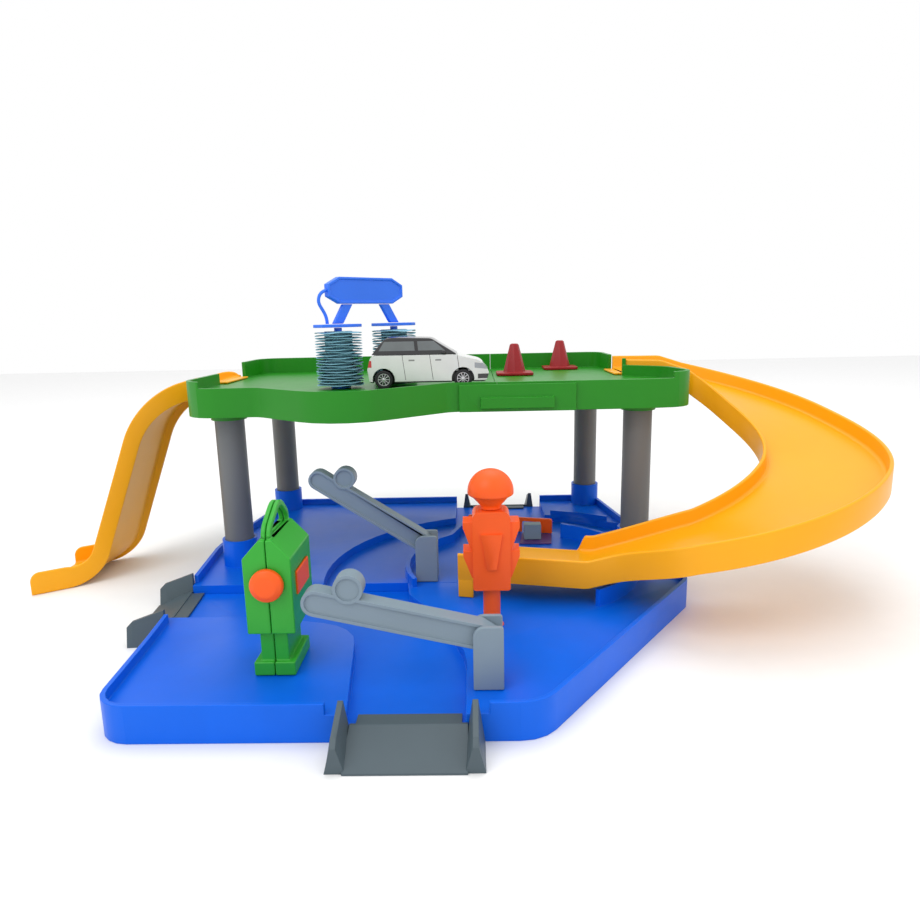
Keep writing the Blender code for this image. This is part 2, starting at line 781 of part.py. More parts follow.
def spiral_stations():
    """The spiral ramp's middle line: its directions, centre, turning points and straight lengths."""
    heading = math.radians(SPIRAL_HEADING_DEG)
    along = Vector((math.cos(heading), math.sin(heading)))
    across = Vector((-along.y, along.x))
    start = Vector((DECK_RIGHT_X + GAP, SPIRAL_START_Y))
    lead = (SPIRAL_CENTRE_X + across.x * SPIRAL_RADIUS - start.x) / along.x
    first = start + along * lead
    centre = first - across * SPIRAL_RADIUS
    second = centre - across * SPIRAL_RADIUS
    tail = (second.x - SPIRAL_END_X) / along.x
    return along, across, centre, first, second, lead, tail


def ease(value, start, end):
    """A share that grows smoothly from 0 at the start to 1 at the end."""
    share = min(max((value - start) / (end - start), 0), 1)
    return share * share * (3 - 2 * share)


def spiral_flare(turn, deck_turn):
    """How much wider the channel is on its outer and inner side, at a share of its half turn."""
    grown = ease(turn, deck_turn, FLARE_START_END) * (1 - ease(turn, *FLARE_FADE))
    outer = SPIRAL_OUTER_FLARE[0] + SPIRAL_OUTER_FLARE[1] * ease(turn, *OUTER_FLARE_LATE)
    inner = SPIRAL_INNER_FLARE[0] * (1 - ease(turn, *INNER_FLARE_EARLY)) + SPIRAL_INNER_FLARE[1]
    return outer * grown, inner * grown


def make_spiral_ramp():
    """The spiral ramp: straight off the deck, half a turn down, and straight into the court."""
    along, across, centre, first, second, lead, tail = spiral_stations()
    curve = math.pi * SPIRAL_RADIUS
    total = lead + curve + tail
    start_rim = DECK_FLOOR_Z + GAP + TONGUE_THICKNESS + SPIRAL_FLOOR_DROP
    end_rim = SPIRAL_END_BOTTOM_Z + SPIRAL_WALL_HEIGHT
    fade = tail - SPIRAL_LEVEL_END
    steps = SPIRAL_STRAIGHT_STEPS
    stations = [SPIRAL_LEVEL_START * step / steps for step in range(steps + 1)]
    stations += [(SPIRAL_LEVEL_START + lead) / 2]
    stations += [lead + curve * step / SPIRAL_ARC_STEPS for step in range(SPIRAL_ARC_STEPS + 1)]
    stations += [lead + curve + fade * step / steps for step in range(1, steps + 1)]
    stations += [total]
    sections = []
    for length in stations:
        share = (length - SPIRAL_LEVEL_START) / (total - SPIRAL_LEVEL_START - SPIRAL_LEVEL_END)
        rim = start_rim + (end_rim - start_rim) * min(max(share, 0), 1)
        if length <= lead:
            middle = first - along * (lead - length)
            side = across
        elif length < lead + curve:
            turn = Matrix.Rotation(-(length - lead) / SPIRAL_RADIUS, 2)
            side = turn @ across
            middle = centre + side * SPIRAL_RADIUS
        else:
            middle = second - along * (length - lead - curve)
            side = -across

        outer_flare, inner_flare = spiral_flare((length - lead) / curve, -lead / curve)

        def spot(offset, height):
            place = middle + side * (offset + (outer_flare if offset > 0 else -inner_flare))
            if length == 0:
                place += along * (DECK_RIGHT_X + GAP - place.x) / along.x
            return (place.x, place.y, height)

        floor_top = rim - SPIRAL_FLOOR_DROP
        sections.append(
            channel_section(
                spot,
                SPIRAL_WIDTH,
                rim,
                rim - SPIRAL_WALL_HEIGHT,
                floor_top,
                floor_top - CHANNEL_FLOOR,
            )
        )
    ramp = loft("spiral_ramp", sections, "yellow")

    low = DECK_FLOOR_Z + GAP
    y_span = (RAMP_OPENING_Y[0] + 2 * CHANNEL_WALL, RAMP_OPENING_Y[1] - 2 * CHANNEL_WALL)
    x_span = (DECK_RIGHT_X - TONGUE_LENGTH, DECK_RIGHT_X + GAP + OVERLAP)
    join([ramp], box("ramp_tongue", x_span, y_span, (low, low + TONGUE_THICKNESS)))

    end = second - along * tail
    half = SPIRAL_WIDTH / 2
    wall_top = end_rim + 1
    floor_top = end_rim - SPIRAL_FLOOR_DROP
    open_side = box(
        "court_side_opening",
        (-OVERLAP, SPIRAL_OPEN_LENGTH),
        (half - CHANNEL_WALL, half + OVERLAP),
        (floor_top, wall_top + 12),
    )
    foot_x = (0, SPIRAL_FOOT_LENGTH)
    foot_z = (PLATEAU_Z + GAP, SPIRAL_END_BOTTOM_Z + OVERLAP)
    near_foot = box("ramp_foot_near", foot_x, (-half, -half + CHANNEL_WALL), foot_z)
    far_foot = box("ramp_foot_far", foot_x, (half - CHANNEL_WALL, half), foot_z)
    cut([ramp], open_side)
    join([ramp], near_foot)
    join([ramp], far_foot)
    helpers = [open_side, near_foot, far_foot]
    hold(helpers, "ramp_end", (end.x, end.y, 0), SPIRAL_HEADING_DEG)


def make_exit_ramp(name, place, turn_deg):
    """One drive-on ramp, built with its base edge on Y = 0 and its nose towards -Y."""
    nose = -EXIT_REACH
    low = ROAD_Z + GAP
    profile = [
        (nose, 0),
        (-GAP, 0),
        (-GAP, low + 1.5),
        (-1.5, low + 1.5),
        (nose, 1),
    ]
    half = EXIT_WIDTH / 2
    ramp = sideways(name, profile, -half, half, "dark_grey")
    tongue_x = (-EXIT_TONGUE_WIDTH / 2, EXIT_TONGUE_WIDTH / 2)
    tongue = box(f"{name}_tongue", tongue_x, (-GAP - OVERLAP, EXIT_TONGUE), (low, low + 1))
    join([ramp], tongue)
    for side in (-1, 1):
        sections = []
        for y, top in ((nose + 1, EXIT_WALL_LOW), (nose + 4, EXIT_WALL_LOW + 3), (-GAP, EXIT_WALL_HIGH)):
            inner = half - OVERLAP
            outer = half + EXIT_WALL_FOOT
            middle = half + EXIT_WALL_FOOT * 0.45
            edge = EXIT_WALL_TOP / 2
            sections.append(
                [
                    (side * inner, y, 0),
                    (side * inner, y, 0.8),
                    (side * (middle - edge), y, top),
                    (side * (middle + edge), y, top),
                    (side * outer, y, 0),
                ]
            )
        wall = loft(f"{name}_wall_{'left' if side < 0 else 'right'}", sections)
        join([ramp], wall)
        hold([wall], f"{name}_wall_frame_{'left' if side < 0 else 'right'}", (*place, 0), turn_deg)
    hold([ramp, tongue], f"{name}_frame", (*place, 0), turn_deg)


def make_exit_ramps():
    """The three drive-on ramps, each in the middle of its gap in the base's wall."""
    make_exit_ramp("ramp_front", (FRONT_EXIT_X, BASE_CORNERS[0][1]), 0)
    high = Vector(BASE_CORNERS[-2][:2])
    low = Vector(BASE_CORNERS[-1][:2])
    share = (LEFT_EXIT_Y - low.y) / (high.y - low.y)
    lean = math.degrees(math.atan2(low.x - high.x, high.y - low.y))
    make_exit_ramp("ramp_left", low.lerp(high, share), lean - 90)
    make_exit_ramp("ramp_back", (sum(BACK_GAP) / 2, BASE_CORNERS[4][1]), 180)


def gate_places():
    """Each gate post's middle in X and front in Y; the back one stands just inside the court's edge."""
    angle = math.radians(BACK_GATE_DEG)
    reach = COURT_RADIUS - BACK_GATE_INSET
    x = RING_CENTRE[0] + reach * math.cos(angle)
    y = RING_CENTRE[1] + reach * math.sin(angle)
    return {"front": FRONT_GATE_XY, "back": (round(x, 1), round(y - GATE_POST_DEPTH / 2, 1))}


def make_gate(name, place, rest_deg):
    """A barrier gate: slotted post, recessed arm with its disc, and the pin that carries the arm."""
    x, y = place
    low = PLATEAU_Z + GAP
    top = low + GATE_POST_HEIGHT
    left = x - GATE_POST_WIDTH / 2
    right = x + GATE_POST_WIDTH / 2
    outline = rounded([(left, low, 0), (right, low, 0), (right, top, 1.5), (left, top, 5)])
    post = upright(f"gate_{name}_post", outline, y, y + GATE_POST_DEPTH, "gate_grey")
    pivot_x = right - GATE_PIVOT_INSET
    pivot_z = top - GATE_PIVOT_DROP
    slot_y = (y + GATE_CHEEK, y + GATE_POST_DEPTH - GATE_CHEEK)
    slot_low = pivot_z - ARM_HALF_HEIGHT - 1.5
    slot_end = right - GATE_CHEEK + 1
    slot = [
        (left - 5, slot_low),
        (slot_end, slot_low),
        (slot_end, pivot_z + GATE_NOTCH_RISE),
        (right + 5, pivot_z + GATE_NOTCH_RISE),
        (right + 5, top + 5),
        (left - 5, top + 5),
    ]
    cut([post], upright(f"{name}_slot", slot, *slot_y))
    seat = (pivot_x, slot_y[0] - GATE_PIN_SEAT, pivot_z)
    span = slot_y[1] - slot_y[0] + 2 * GATE_PIN_SEAT
    cut([post], rod(f"{name}_pin_seats", GATE_PIN_RADIUS + GAP, seat, span, "Y"))
    pin_start = (pivot_x, seat[1] + GAP, pivot_z)
    pin = rod(f"gate_{name}_pin", GATE_PIN_RADIUS, pin_start, span - 2 * GAP, "Y", "gate_grey")

    half = ARM_HALF_HEIGHT
    corners = [
        (-ARM_LENGTH, -half, ARM_TIP_RADIUS),
        (-ARM_TAIL, -half, 3),
        (ARM_TAIL, -half / 2, 2),
        (ARM_TAIL, half / 2, 2),
        (-ARM_TAIL, half, 3),
        (-ARM_LENGTH, half, ARM_TIP_RADIUS),
    ]
    bar = rounded(corners)
    front = slot_y[0] + SLIDE_GAP
    back = slot_y[1] - SLIDE_GAP
    arm = upright(f"gate_{name}_arm", bar, front, back, "gate_grey")
    disc = rod(f"{name}_disc", DISC_RADIUS, (-DISC_ALONG, front, DISC_ABOVE), back - front, "Y", steps=24)
    join([arm], disc)
    recess = rounded(inset_corners(corners, ARM_RIM))
    faces = {"front": (front - 1, front + ARM_RECESS), "back": (back - ARM_RECESS, back + 1)}
    tools = [disc]
    for face, (near, far) in faces.items():
        panel = upright(f"{name}_{face}_recess", recess, near, far)
        eye = rod(
            f"{name}_{face}_eye",
            DISC_RADIUS - ARM_RIM,
            (-DISC_ALONG, near, DISC_ABOVE),
            far - near,
            "Y",
            steps=24,
        )
        rim = rod(
            f"{name}_{face}_rim",
            DISC_RADIUS,
            (-DISC_ALONG, near - 1, DISC_ABOVE),
            far - near + 2,
            "Y",
            steps=24,
        )
        hub = rod(f"{name}_{face}_hub", half, (0, near - 1, 0), far - near + 2, "Y")
        cut([panel], rim)
        cut([panel], hub)
        cut([arm], panel)
        cut([arm], eye)
        tools += [panel, eye, rim, hub]
    hole = rod(f"{name}_arm_hole", GATE_PIN_RADIUS + GAP, (0, front - 1, 0), back - front + 2, "Y")
    cut([arm], hole)
    tools.append(hole)
    frame = hold([arm] + tools, f"gate_{name}_pivot", (pivot_x, 0, pivot_z))
    frame.rotation_euler = (0, math.radians(rest_deg), 0)
    move_origin(pin, (pivot_x, y, pivot_z))


def make_signal():
    """The traffic light: post, four-sided body with side hoods, and domed cap."""
    x, y = SIGNAL_XY
    low = PLATEAU_Z + GAP
    width, depth, height = SIGNAL_BODY
    body_low = SIGNAL_BODY_Z
    body_top = body_low + height
    post_top = body_low - GAP
    post = [
        (0, post_top),
        (SIGNAL_POST_RADIUS, post_top),
        (SIGNAL_POST_RADIUS, low + 2),
        (SIGNAL_POST_RADIUS + 2, low),
        (0, low),
    ]
    turned("signal_post", post, SIGNAL_XY, "orange")
    half = width / 2
    outline = rounded(
        [
            (x - half, body_low, 1.5),
            (x + half, body_low, 1.5),
            (x + half, body_top, 4),
            (x - half, body_top, 4),
        ]
    )
    body = upright("signal_body", outline, y - depth / 2, y + depth / 2, "orange")
    for level, bottom in enumerate(SIGNAL_HOODS_Z):
        for side in (-1, 1):
            top = bottom + SIGNAL_HOOD_HEIGHT - (0.6 if level == 0 else 0)
            edge = x + side * (half - OVERLAP)
            hood = [
                (edge, bottom),
                (edge + side * OVERLAP * 1.5, bottom),
                (edge + side * (OVERLAP + SIGNAL_HOOD), top - 3),
                (edge + side * (OVERLAP + SIGNAL_HOOD), top),
                (edge, top),
            ]
            if side < 0:
                hood = hood[::-1]
            name = f"hood_{level}_{'left' if side < 0 else 'right'}"
            join([body], upright(name, hood, y - depth / 2 + 1.5, y + depth / 2 - 1.5))
    face = [(x - 5.6, 66), (x - 2.4, 47), (x + 2.4, 47), (x + 5.6, 66)]
    front = y - depth / 2
    join([body], upright("signal_relief", face, front - 1.2, front + OVERLAP))
    low = body_top + GAP
    radius = SIGNAL_CAP_RADIUS
    brow = low + SIGNAL_CAP_BROW
    dome = SIGNAL_CAP_HEIGHT - SIGNAL_CAP_BROW
    cap = [(0, brow + dome)]
    for step in range(1, 7):
        angle = math.radians(90 - 15 * step)
        cap.append((radius * math.cos(angle), brow + dome * math.sin(angle)))
    cap += [
        (radius, low + 7.6),
        (radius - 3.2, low + 4.4),
        (SIGNAL_NECK_RADIUS, low + 2.4),
        (SIGNAL_NECK_RADIUS, low),
        (0, low),
    ]
    turned("signal_cap", cap, SIGNAL_XY, "orange")


def make_pump():
    """The fuel pump: two half shells, a turning knob and a side screen."""
    front = PUMP_FRONT_Y
    back = front + PUMP_DEPTH
    low = PLATEAU_Z + GAP
    half = PUMP_WIDTH / 2
    eave = PUMP_BODY_Z[1]
    outline = [
        (PUMP_X - half, PUMP_BODY_Z[0]),
        (PUMP_X + half, PUMP_BODY_Z[0]),
        (PUMP_X + half, eave),
        (PUMP_X + 3, PUMP_RIDGE_Z),
        (PUMP_X - 3, PUMP_RIDGE_Z),
        (PUMP_X - half, eave),
    ]
    shells = [
        upright("pump_shell_left", outline, front, back, "green"),
        upright("pump_shell_right", outline, front, back, "green"),
    ]
    foot_width, foot_depth, foot_height = PUMP_FOOT
    x_foot = (PUMP_X - foot_width / 2, PUMP_X + foot_width / 2)
    y_foot = (front + 1, front + 1 + foot_depth)
    join(shells, box("pump_foot", x_foot, y_foot, (low, low + foot_height)))
    neck_width, neck_depth = PUMP_NECK
    x_neck = (PUMP_X - neck_width / 2, PUMP_X + neck_width / 2)
    y_neck = (front + 3, front + 3 + neck_depth)
    z_neck = (low + foot_height - OVERLAP, PUMP_BODY_Z[0] + OVERLAP)
    join(shells, box("pump_neck", x_neck, y_neck, z_neck))
    middle_y = (front + back) / 2
    handle_foot = PUMP_RIDGE_Z - 4
    path = [
        (PUMP_HANDLE_Y[0], handle_foot, 0),
        (PUMP_HANDLE_Y[0] + 1, PUMP_RIDGE_Z + 4, 9),
        (middle_y + 4, PUMP_HANDLE_TOP_Z, 9),
        (PUMP_HANDLE_Y[1], PUMP_RIDGE_Z + 4, 6),
        (PUMP_HANDLE_Y[1], handle_foot, 0),
    ]
    handle = ribbon(rounded(path, closed=False), PUMP_HANDLE_THICKNESS)
    x_handle = (PUMP_X - PUMP_HANDLE_WIDTH / 2, PUMP_X + PUMP_HANDLE_WIDTH / 2)
    join(shells, sideways("pump_handle", handle, *x_handle))
    thin = PUMP_SHELL
    hollow = [
        (PUMP_X - half + thin, PUMP_BODY_Z[0] + thin),
        (PUMP_X + half - thin, PUMP_BODY_Z[0] + thin),
        (PUMP_X + half - thin, eave - thin),
        (PUMP_X - half + thin, eave - thin),
    ]
    cut(shells, upright("pump_hollow", hollow, front + thin, back - thin))
    knob_hole = (PUMP_X, front - 1, KNOB_Z)
    cut(shells, rod("knob_hole", KNOB_STEM_RADIUS + GAP, knob_hole, thin + 2, "Y"))
    side = PUMP_X + half
    screen_z = (51, 51 + SCREEN_SIZE[1])
    screen_y = (middle_y - SCREEN_SIZE[0] / 2, middle_y + SCREEN_SIZE[0] / 2)
    pocket_y = (screen_y[0] - GAP, screen_y[1] + GAP)
    pocket_z = (screen_z[0] - GAP, screen_z[1] + GAP)
    cut(shells, box("screen_pocket", (side - 0.8, side + 1), pocket_y, pocket_z))
    screen_x = (side - 0.8 + GAP, side - 0.8 + GAP + SCREEN_THICKNESS)
    box("pump_screen", screen_x, screen_y, screen_z, "orange")
    far = 400
    cut(shells[:1], box("pump_right_side", (PUMP_X - GAP / 2, far), (-far, far), (-far, far)))
    cut(shells[1:], box("pump_left_side", (-far, PUMP_X + GAP / 2), (-far, far), (-far, far)))

    stem = PUMP_SHELL + GAP + 1.2
    face = KNOB_THICKNESS
    knob = [
        (0, face),
        (KNOB_RADIUS - 2.2, face),
        (KNOB_RADIUS - 1.6, face - 1),
        (KNOB_RADIUS - 1, face),
        (KNOB_RADIUS, face - 0.8),
        (KNOB_RADIUS, 0),
        (KNOB_STEM_RADIUS, 0),
        (KNOB_STEM_RADIUS, -stem),
        (0, -stem),
    ]
    made = turned("pump_knob", knob, (0, 0), "orange")
    made.location = (PUMP_X * MM, (front - GAP) * MM, KNOB_Z * MM)
    made.rotation_euler = (math.pi / 2, 0, 0)


def make_car_wash():
    """The car wash: two ribbed brushes on spindles, their plates and legs, and the sign they carry."""
    floor = DECK_FLOOR_Z + GAP
    plate_length, plate_width, plate_height = WASH_PLATE
    left, right = Vector(BRUSHES["left"]), Vector(BRUSHES["right"])
    middle = (left + right) / 2
    turn = math.degrees(math.atan2(right.y - left.y, right.x - left.x))
    spacing = (right - left).length / 2
    for side, name in ((-1, "left"), (1, "right")):
        centre = BRUSHES[name]
        low = floor + 1.2 + GAP
        pitch = BRUSH_HEIGHT / BRUSH_DISCS
        bore = SPINDLE_RADIUS + GAP
        profile = []
        for disc in range(BRUSH_DISCS):
            top = low + BRUSH_HEIGHT - disc * pitch
            profile.append((BRUSH_CORE, top - 0.15 * pitch))
            profile.append((BRUSH_RADIUS, top - 0.7 * pitch))
        profile += [(BRUSH_CORE, low), (bore, low), (bore, low + BRUSH_HEIGHT)]
        turned(f"wash_brush_{name}", profile, centre, "brush_blue", BRUSH_STEPS, True)
        spindle = [
            (0, WASH_PLATE_Z - GAP),
            (SPINDLE_RADIUS, WASH_PLATE_Z - GAP),
            (SPINDLE_RADIUS, floor + 1.2),
            (SPINDLE_RADIUS + 4, floor + 1.2),
            (SPINDLE_RADIUS + 4, floor),
            (0, floor),
        ]
        turned(f"wash_spindle_{name}", spindle, centre, "wash_blue", 16)
        half = plate_length / 2
        corner = plate_width * 0.35
        plate_outline = [
            (-half, -corner),
            (-half + corner, -plate_width / 2),
            (half - corner, -plate_width / 2),
            (half, -corner),
            (half, corner),
            (half - corner, plate_width / 2),
            (-half + corner, plate_width / 2),
            (-half, corner),
        ]
        plate_top = WASH_PLATE_Z + plate_height
        plate = prism(f"wash_plate_{name}", plate_outline, WASH_PLATE_Z, plate_top, "wash_blue")
        hold([plate], f"wash_plate_frame_{name}", (*centre, 0), turn)
        foot = side * spacing
        top = foot - side * LEG_SPREAD
        leg = [
            (foot - LEG_WIDTH / 2, plate_top + GAP),
            (foot + LEG_WIDTH / 2, plate_top + GAP),
            (top + LEG_WIDTH / 2, SIGN_Z[0] - GAP),
            (top - LEG_WIDTH / 2, SIGN_Z[0] - GAP),
        ]
        leg_part = upright(f"wash_leg_{name}", leg, -LEG_THICKNESS / 2, LEG_THICKNESS / 2, "wash_blue")
        hold([leg_part], f"wash_leg_frame_{name}", (middle.x, middle.y, 0), turn)
    wide, tall = SIGN_CHAMFER
    half = SIGN_HALF_LENGTH
    low, high = SIGN_Z
    board = [
        (-half, low + tall),
        (-half + wide, low),
        (half - wide, low),
        (half, low + tall),
        (half, high - tall),
        (half - wide, high),
        (-half + wide, high),
        (-half, high - tall),
    ]
    deep = SIGN_THICKNESS / 2
    sign = upright("wash_sign", board, -deep, deep, "wash_blue")
    face = shifted(board, SIGN_RIM, True)
    front = upright("sign_face_front", face, -deep - 1, -deep + 0.8)
    rear = upright("sign_face_back", face, deep - 0.8, deep + 1)
    cut([sign], front)
    cut([sign], rear)
    hold([sign, front, rear], "wash_sign_frame", (middle.x, middle.y, 0), turn)
    make_wash_hose(turn, middle, spacing)


def make_wash_hose(turn, middle, spacing):
    """The short moulded hose from the sign's end down to the left plate."""
    end = -SIGN_HALF_LENGTH - GAP
    plate = WASH_PLATE_Z + WASH_PLATE[2] + GAP
    start_z = (SIGN_Z[0] + SIGN_Z[1]) / 2
    spots = [
        (end, start_z),
        (end - 4, start_z - 1),
        (end - 6.4, start_z - 5),
        (end - 6, start_z - 9),
        (-spacing - 10, plate + 8),
        (-spacing - 8, plate + 3.5),
        (-spacing - 8, plate),
    ]
    curve = bpy.data.curves.new("wash_hose", "CURVE")
    curve.dimensions = "3D"
    curve.bevel_depth = HOSE_RADIUS * MM
    curve.bevel_resolution = 2
    curve.use_fill_caps = True
    curve.resolution_u = 3
    spline = curve.splines.new("NURBS")
    spline.points.add(len(spots) - 1)
    for point, (x, z) in zip(spline.points, spots):
        point.co = (x * MM, 0, z * MM, 1)
    spline.order_u = 4
    spline.use_endpoint_u = True
    curve.materials.append(material("wash_blue"))
    hose = bpy.data.objects.new("wash_hose", curve)
    bpy.data.collections["toy_garage"].objects.link(hose)
    hold([hose], "wash_hose_frame", (middle.x, middle.y, 0), turn)


def make_court_pieces():
    """The arch at the court's back edge, the block before its window and the bare label pad."""
    (x0, y0), (x1, y1) = ARCH_ENDS
    length = math.hypot(x1 - x0, y1 - y0)
    turn = math.degrees(math.atan2(y1 - y0, x1 - x0))
    low = PLATEAU_Z + GAP
    outline = rounded(
        [
            (0, low, 0),
            (WINDOW_SPAN[0], low, 0),
            (WINDOW_SPAN[0], WINDOW_TOP_Z, 1.5),
            (WINDOW_SPAN[1], WINDOW_TOP_Z, 1.5),
            (WINDOW_SPAN[1], low, 0),
            (length, low, 0),
            (length, ARCH_TOP_Z, 1.5),
            (0, ARCH_TOP_Z, 1.5),
        ]
    )
    arch = upright("arch_gate", outline, 0, ARCH_THICKNESS, "orange")
    hold([arch], "arch_frame", (x0, y0, 0), turn)
    pad_top = low + PAD_THICKNESS
    prism("court_pad", rounded(PAD_CORNERS), low, pad_top, "purple")
    x, y = BLOCK_XY
    width, depth, height = BLOCK_SIZE
    block_low = pad_top + GAP
    x_span = (x - width / 2, x + width / 2)
    y_span = (y - depth / 2, y + depth / 2)
    box("window_block", x_span, y_span, (block_low, block_low + height), "gate_grey")


def make_cones():
    """Two traffic cones that stand loose on the deck."""
    low = DECK_FLOOR_Z + GAP
    for name, (x, y) in CONES.items():
        half = CONE_PLATE / 2
        corners = [
            (x - half, y - half, CONE_PLATE_ROUND),
            (x + half, y - half, CONE_PLATE_ROUND),
            (x + half, y + half, CONE_PLATE_ROUND),
            (x - half, y + half, CONE_PLATE_ROUND),
        ]
        plate = prism(f"cone_{name}", rounded(corners), low, low + CONE_PLATE_THICKNESS, "cone_red")
        top = low + CONE_HEIGHT
        profile = [
            (0, top),
            (CONE_TOP_RADIUS - 1, top),
            (CONE_TOP_RADIUS, top - 1),
            (CONE_FOOT_RADIUS, low + CONE_PLATE_THICKNESS - OVERLAP),
            (0, low + CONE_PLATE_THICKNESS - OVERLAP),
        ]
        join([plate], turned(f"cone_body_{name}", profile, (x, y), steps=CONE_SIDES))
        move_origin(plate, (x, y, low))


def make_car():
    """A plain small car: shell, cabin, chassis, two axles and four wheels."""
    floor = DECK_FLOOR_Z + GAP
    wheel_z = floor + CAR_WHEEL_RADIUS
    rear = CAR_REAR_X
    front = rear + CAR_LENGTH
    near = CAR_SIDE_Y
    far_side = near + CAR_WIDTH
    sill = floor + CAR_SILL
    belt = floor + CAR_BELT
    body_outline = rounded(
        [
            (rear + 1.5, sill, 2),
            (front - 2, sill, 3),
            (front, sill + 6, 4),
            (front - 6, belt - 4.5, 8),
            (front - 22, belt, 10),
            (rear + 2.5, belt, 4),
            (rear, sill + 8, 4),
        ]
    )
    body = upright("car_body", body_outline, near, far_side, "white")
    shell = CAR_SHELL
    inner = (rear + 3 * shell, front - 3 * shell), (near + shell, far_side - shell)
    cut([body], box("car_hollow", *inner, (sill - 1, belt - 8)))
    for name, along in CAR_AXLES_X.items():
        start = (rear + along, near - 1, wheel_z)
        cut([body], rod(f"wheel_arch_{name}", CAR_WHEEL_ARCH, start, CAR_WIDTH + 2, "Y"))
    base = belt + GAP
    roof = floor + CAR_ROOF
    cabin_outline = rounded(
        [
            (rear + 3, base, 0),
            (front - 21, base, 0),
            (front - 37, roof - 1, 6),
            (rear + 12, roof, 8),
        ]
    )
    upright("car_cabin", cabin_outline, near + 1.5, far_side - 1.5, "black")

    deck = (inner[0][0] + SLIDE_GAP, inner[0][1] - SLIDE_GAP)
    track = CAR_WHEEL_WIDTH + 2 * SLIDE_GAP + 0.6
    sides = (near + track, far_side - track)
    plate_z = (wheel_z - 2.4, wheel_z + 4.2)
    chassis = box("car_chassis", deck, sides, plate_z, "black")
    middle_y = (near + far_side) / 2
    for name, along in CAR_AXLES_X.items():
        x = rear + along
        start = (x, near - 1, wheel_z)
        cut([chassis], rod(f"axle_bore_{name}", CAR_AXLE_RADIUS + GAP, start, CAR_WIDTH + 2, "Y", steps=12))
        inset = 0.6 + CAR_WHEEL_WIDTH + GAP
        axle_start = (x, near + inset, wheel_z)
        axle_length = CAR_WIDTH - 2 * inset
        axle = rod(f"car_axle_{name}", CAR_AXLE_RADIUS, axle_start, axle_length, "Y", "metal", 12)
        move_origin(axle, (x, middle_y, wheel_z))
        for side, outer in (("near", near + 0.6), ("far", far_side - 0.6 - CAR_WHEEL_WIDTH)):
            hub = (x, outer, wheel_z)
            wheel = rod(f"car_wheel_{name}_{side}", CAR_WHEEL_RADIUS, hub, CAR_WHEEL_WIDTH, "Y", "black", 24)
            move_origin(wheel, (x, middle_y, wheel_z))


def main():
    clear_scene()
    make_base()
    make_pillars()
    make_deck()
    make_slide()
    make_spiral_ramp()
    make_exit_ramps()
    for name, place in gate_places().items():
        make_gate(name, place, GATE_REST_DEG[name])
    make_signal()
    make_pump()
    make_car_wash()
    make_court_pieces()
    make_cones()
    make_car()


main()
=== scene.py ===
"""Toy garage: the fine shapes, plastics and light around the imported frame.

Sizes are in millimetres in the frame's own axes, and MM turns them into metres.
"""

import json
import logging
import math
from dataclasses import KW_ONLY, dataclass
from enum import Enum
from typing import Callable, Sequence

import bmesh
import bpy
import numpy as np
from mathutils import Matrix, Vector

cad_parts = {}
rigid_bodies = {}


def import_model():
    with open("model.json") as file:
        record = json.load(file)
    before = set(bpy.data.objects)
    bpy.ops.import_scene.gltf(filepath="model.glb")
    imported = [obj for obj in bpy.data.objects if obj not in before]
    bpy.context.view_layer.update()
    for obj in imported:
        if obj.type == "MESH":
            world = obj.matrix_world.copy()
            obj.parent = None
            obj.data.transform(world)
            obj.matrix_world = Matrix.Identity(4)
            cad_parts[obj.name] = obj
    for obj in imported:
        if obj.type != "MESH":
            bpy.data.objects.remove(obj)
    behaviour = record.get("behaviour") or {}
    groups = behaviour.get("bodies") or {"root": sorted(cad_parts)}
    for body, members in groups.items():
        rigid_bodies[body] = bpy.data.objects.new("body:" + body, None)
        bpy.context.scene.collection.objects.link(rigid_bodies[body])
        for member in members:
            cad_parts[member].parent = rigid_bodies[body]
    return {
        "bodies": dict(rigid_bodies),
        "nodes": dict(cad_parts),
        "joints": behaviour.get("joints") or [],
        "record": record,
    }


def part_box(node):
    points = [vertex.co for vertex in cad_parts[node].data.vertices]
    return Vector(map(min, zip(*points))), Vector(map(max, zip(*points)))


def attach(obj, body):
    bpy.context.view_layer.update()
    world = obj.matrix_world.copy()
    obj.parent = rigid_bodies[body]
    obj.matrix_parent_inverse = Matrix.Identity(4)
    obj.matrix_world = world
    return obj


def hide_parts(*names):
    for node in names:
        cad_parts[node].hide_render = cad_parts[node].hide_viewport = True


for startup in list(bpy.data.objects):
    bpy.data.objects.remove(startup)
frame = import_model()

MM = 0.001
LOG = logging.getLogger("toy_garage")
Corner = tuple[float, float, float]
REST_PLACE = "rest_place"
# The ends of a turned profile stay this far off the axis
POLE = 0.001


def math_node(operation: str, swapped: bool = False) -> Callable[..., "Socket"]:
    """A method that adds a Math node for its socket and what that meets.

    Args:
        operation: the node's operation.
        swapped: whether the socket comes last.

    Returns:
        The method, which returns the node's output.
    """

    def apply(socket: "Socket", *others: "Socket | float") -> "Socket":
        """Adds the node to the socket's tree.

        Args:
            socket: the socket whose method this is.
            others: the node's other inputs.

        Returns:
            The node's output.
        """
        node = socket.tree.nodes.new("ShaderNodeMath")
        node.operation = operation
        for place, value in zip(node.inputs, (*others, socket) if swapped else (socket, *others)):
            feed(socket.tree, place, value)
        return Socket(socket.tree, node.outputs[0])

    return apply


@dataclass(eq=False)
class Socket:
    """A shader socket whose arithmetic adds Math nodes to its tree; a comparison gives 1 or 0."""

    tree: bpy.types.NodeTree
    link: bpy.types.NodeSocket
    __add__ = __radd__ = math_node("ADD")
    __mul__ = __rmul__ = math_node("MULTIPLY")
    __sub__ = math_node("SUBTRACT")
    __rsub__ = math_node("SUBTRACT", swapped=True)
    __gt__ = math_node("GREATER_THAN")
    __lt__ = math_node("LESS_THAN")
    __abs__ = math_node("ABSOLUTE")


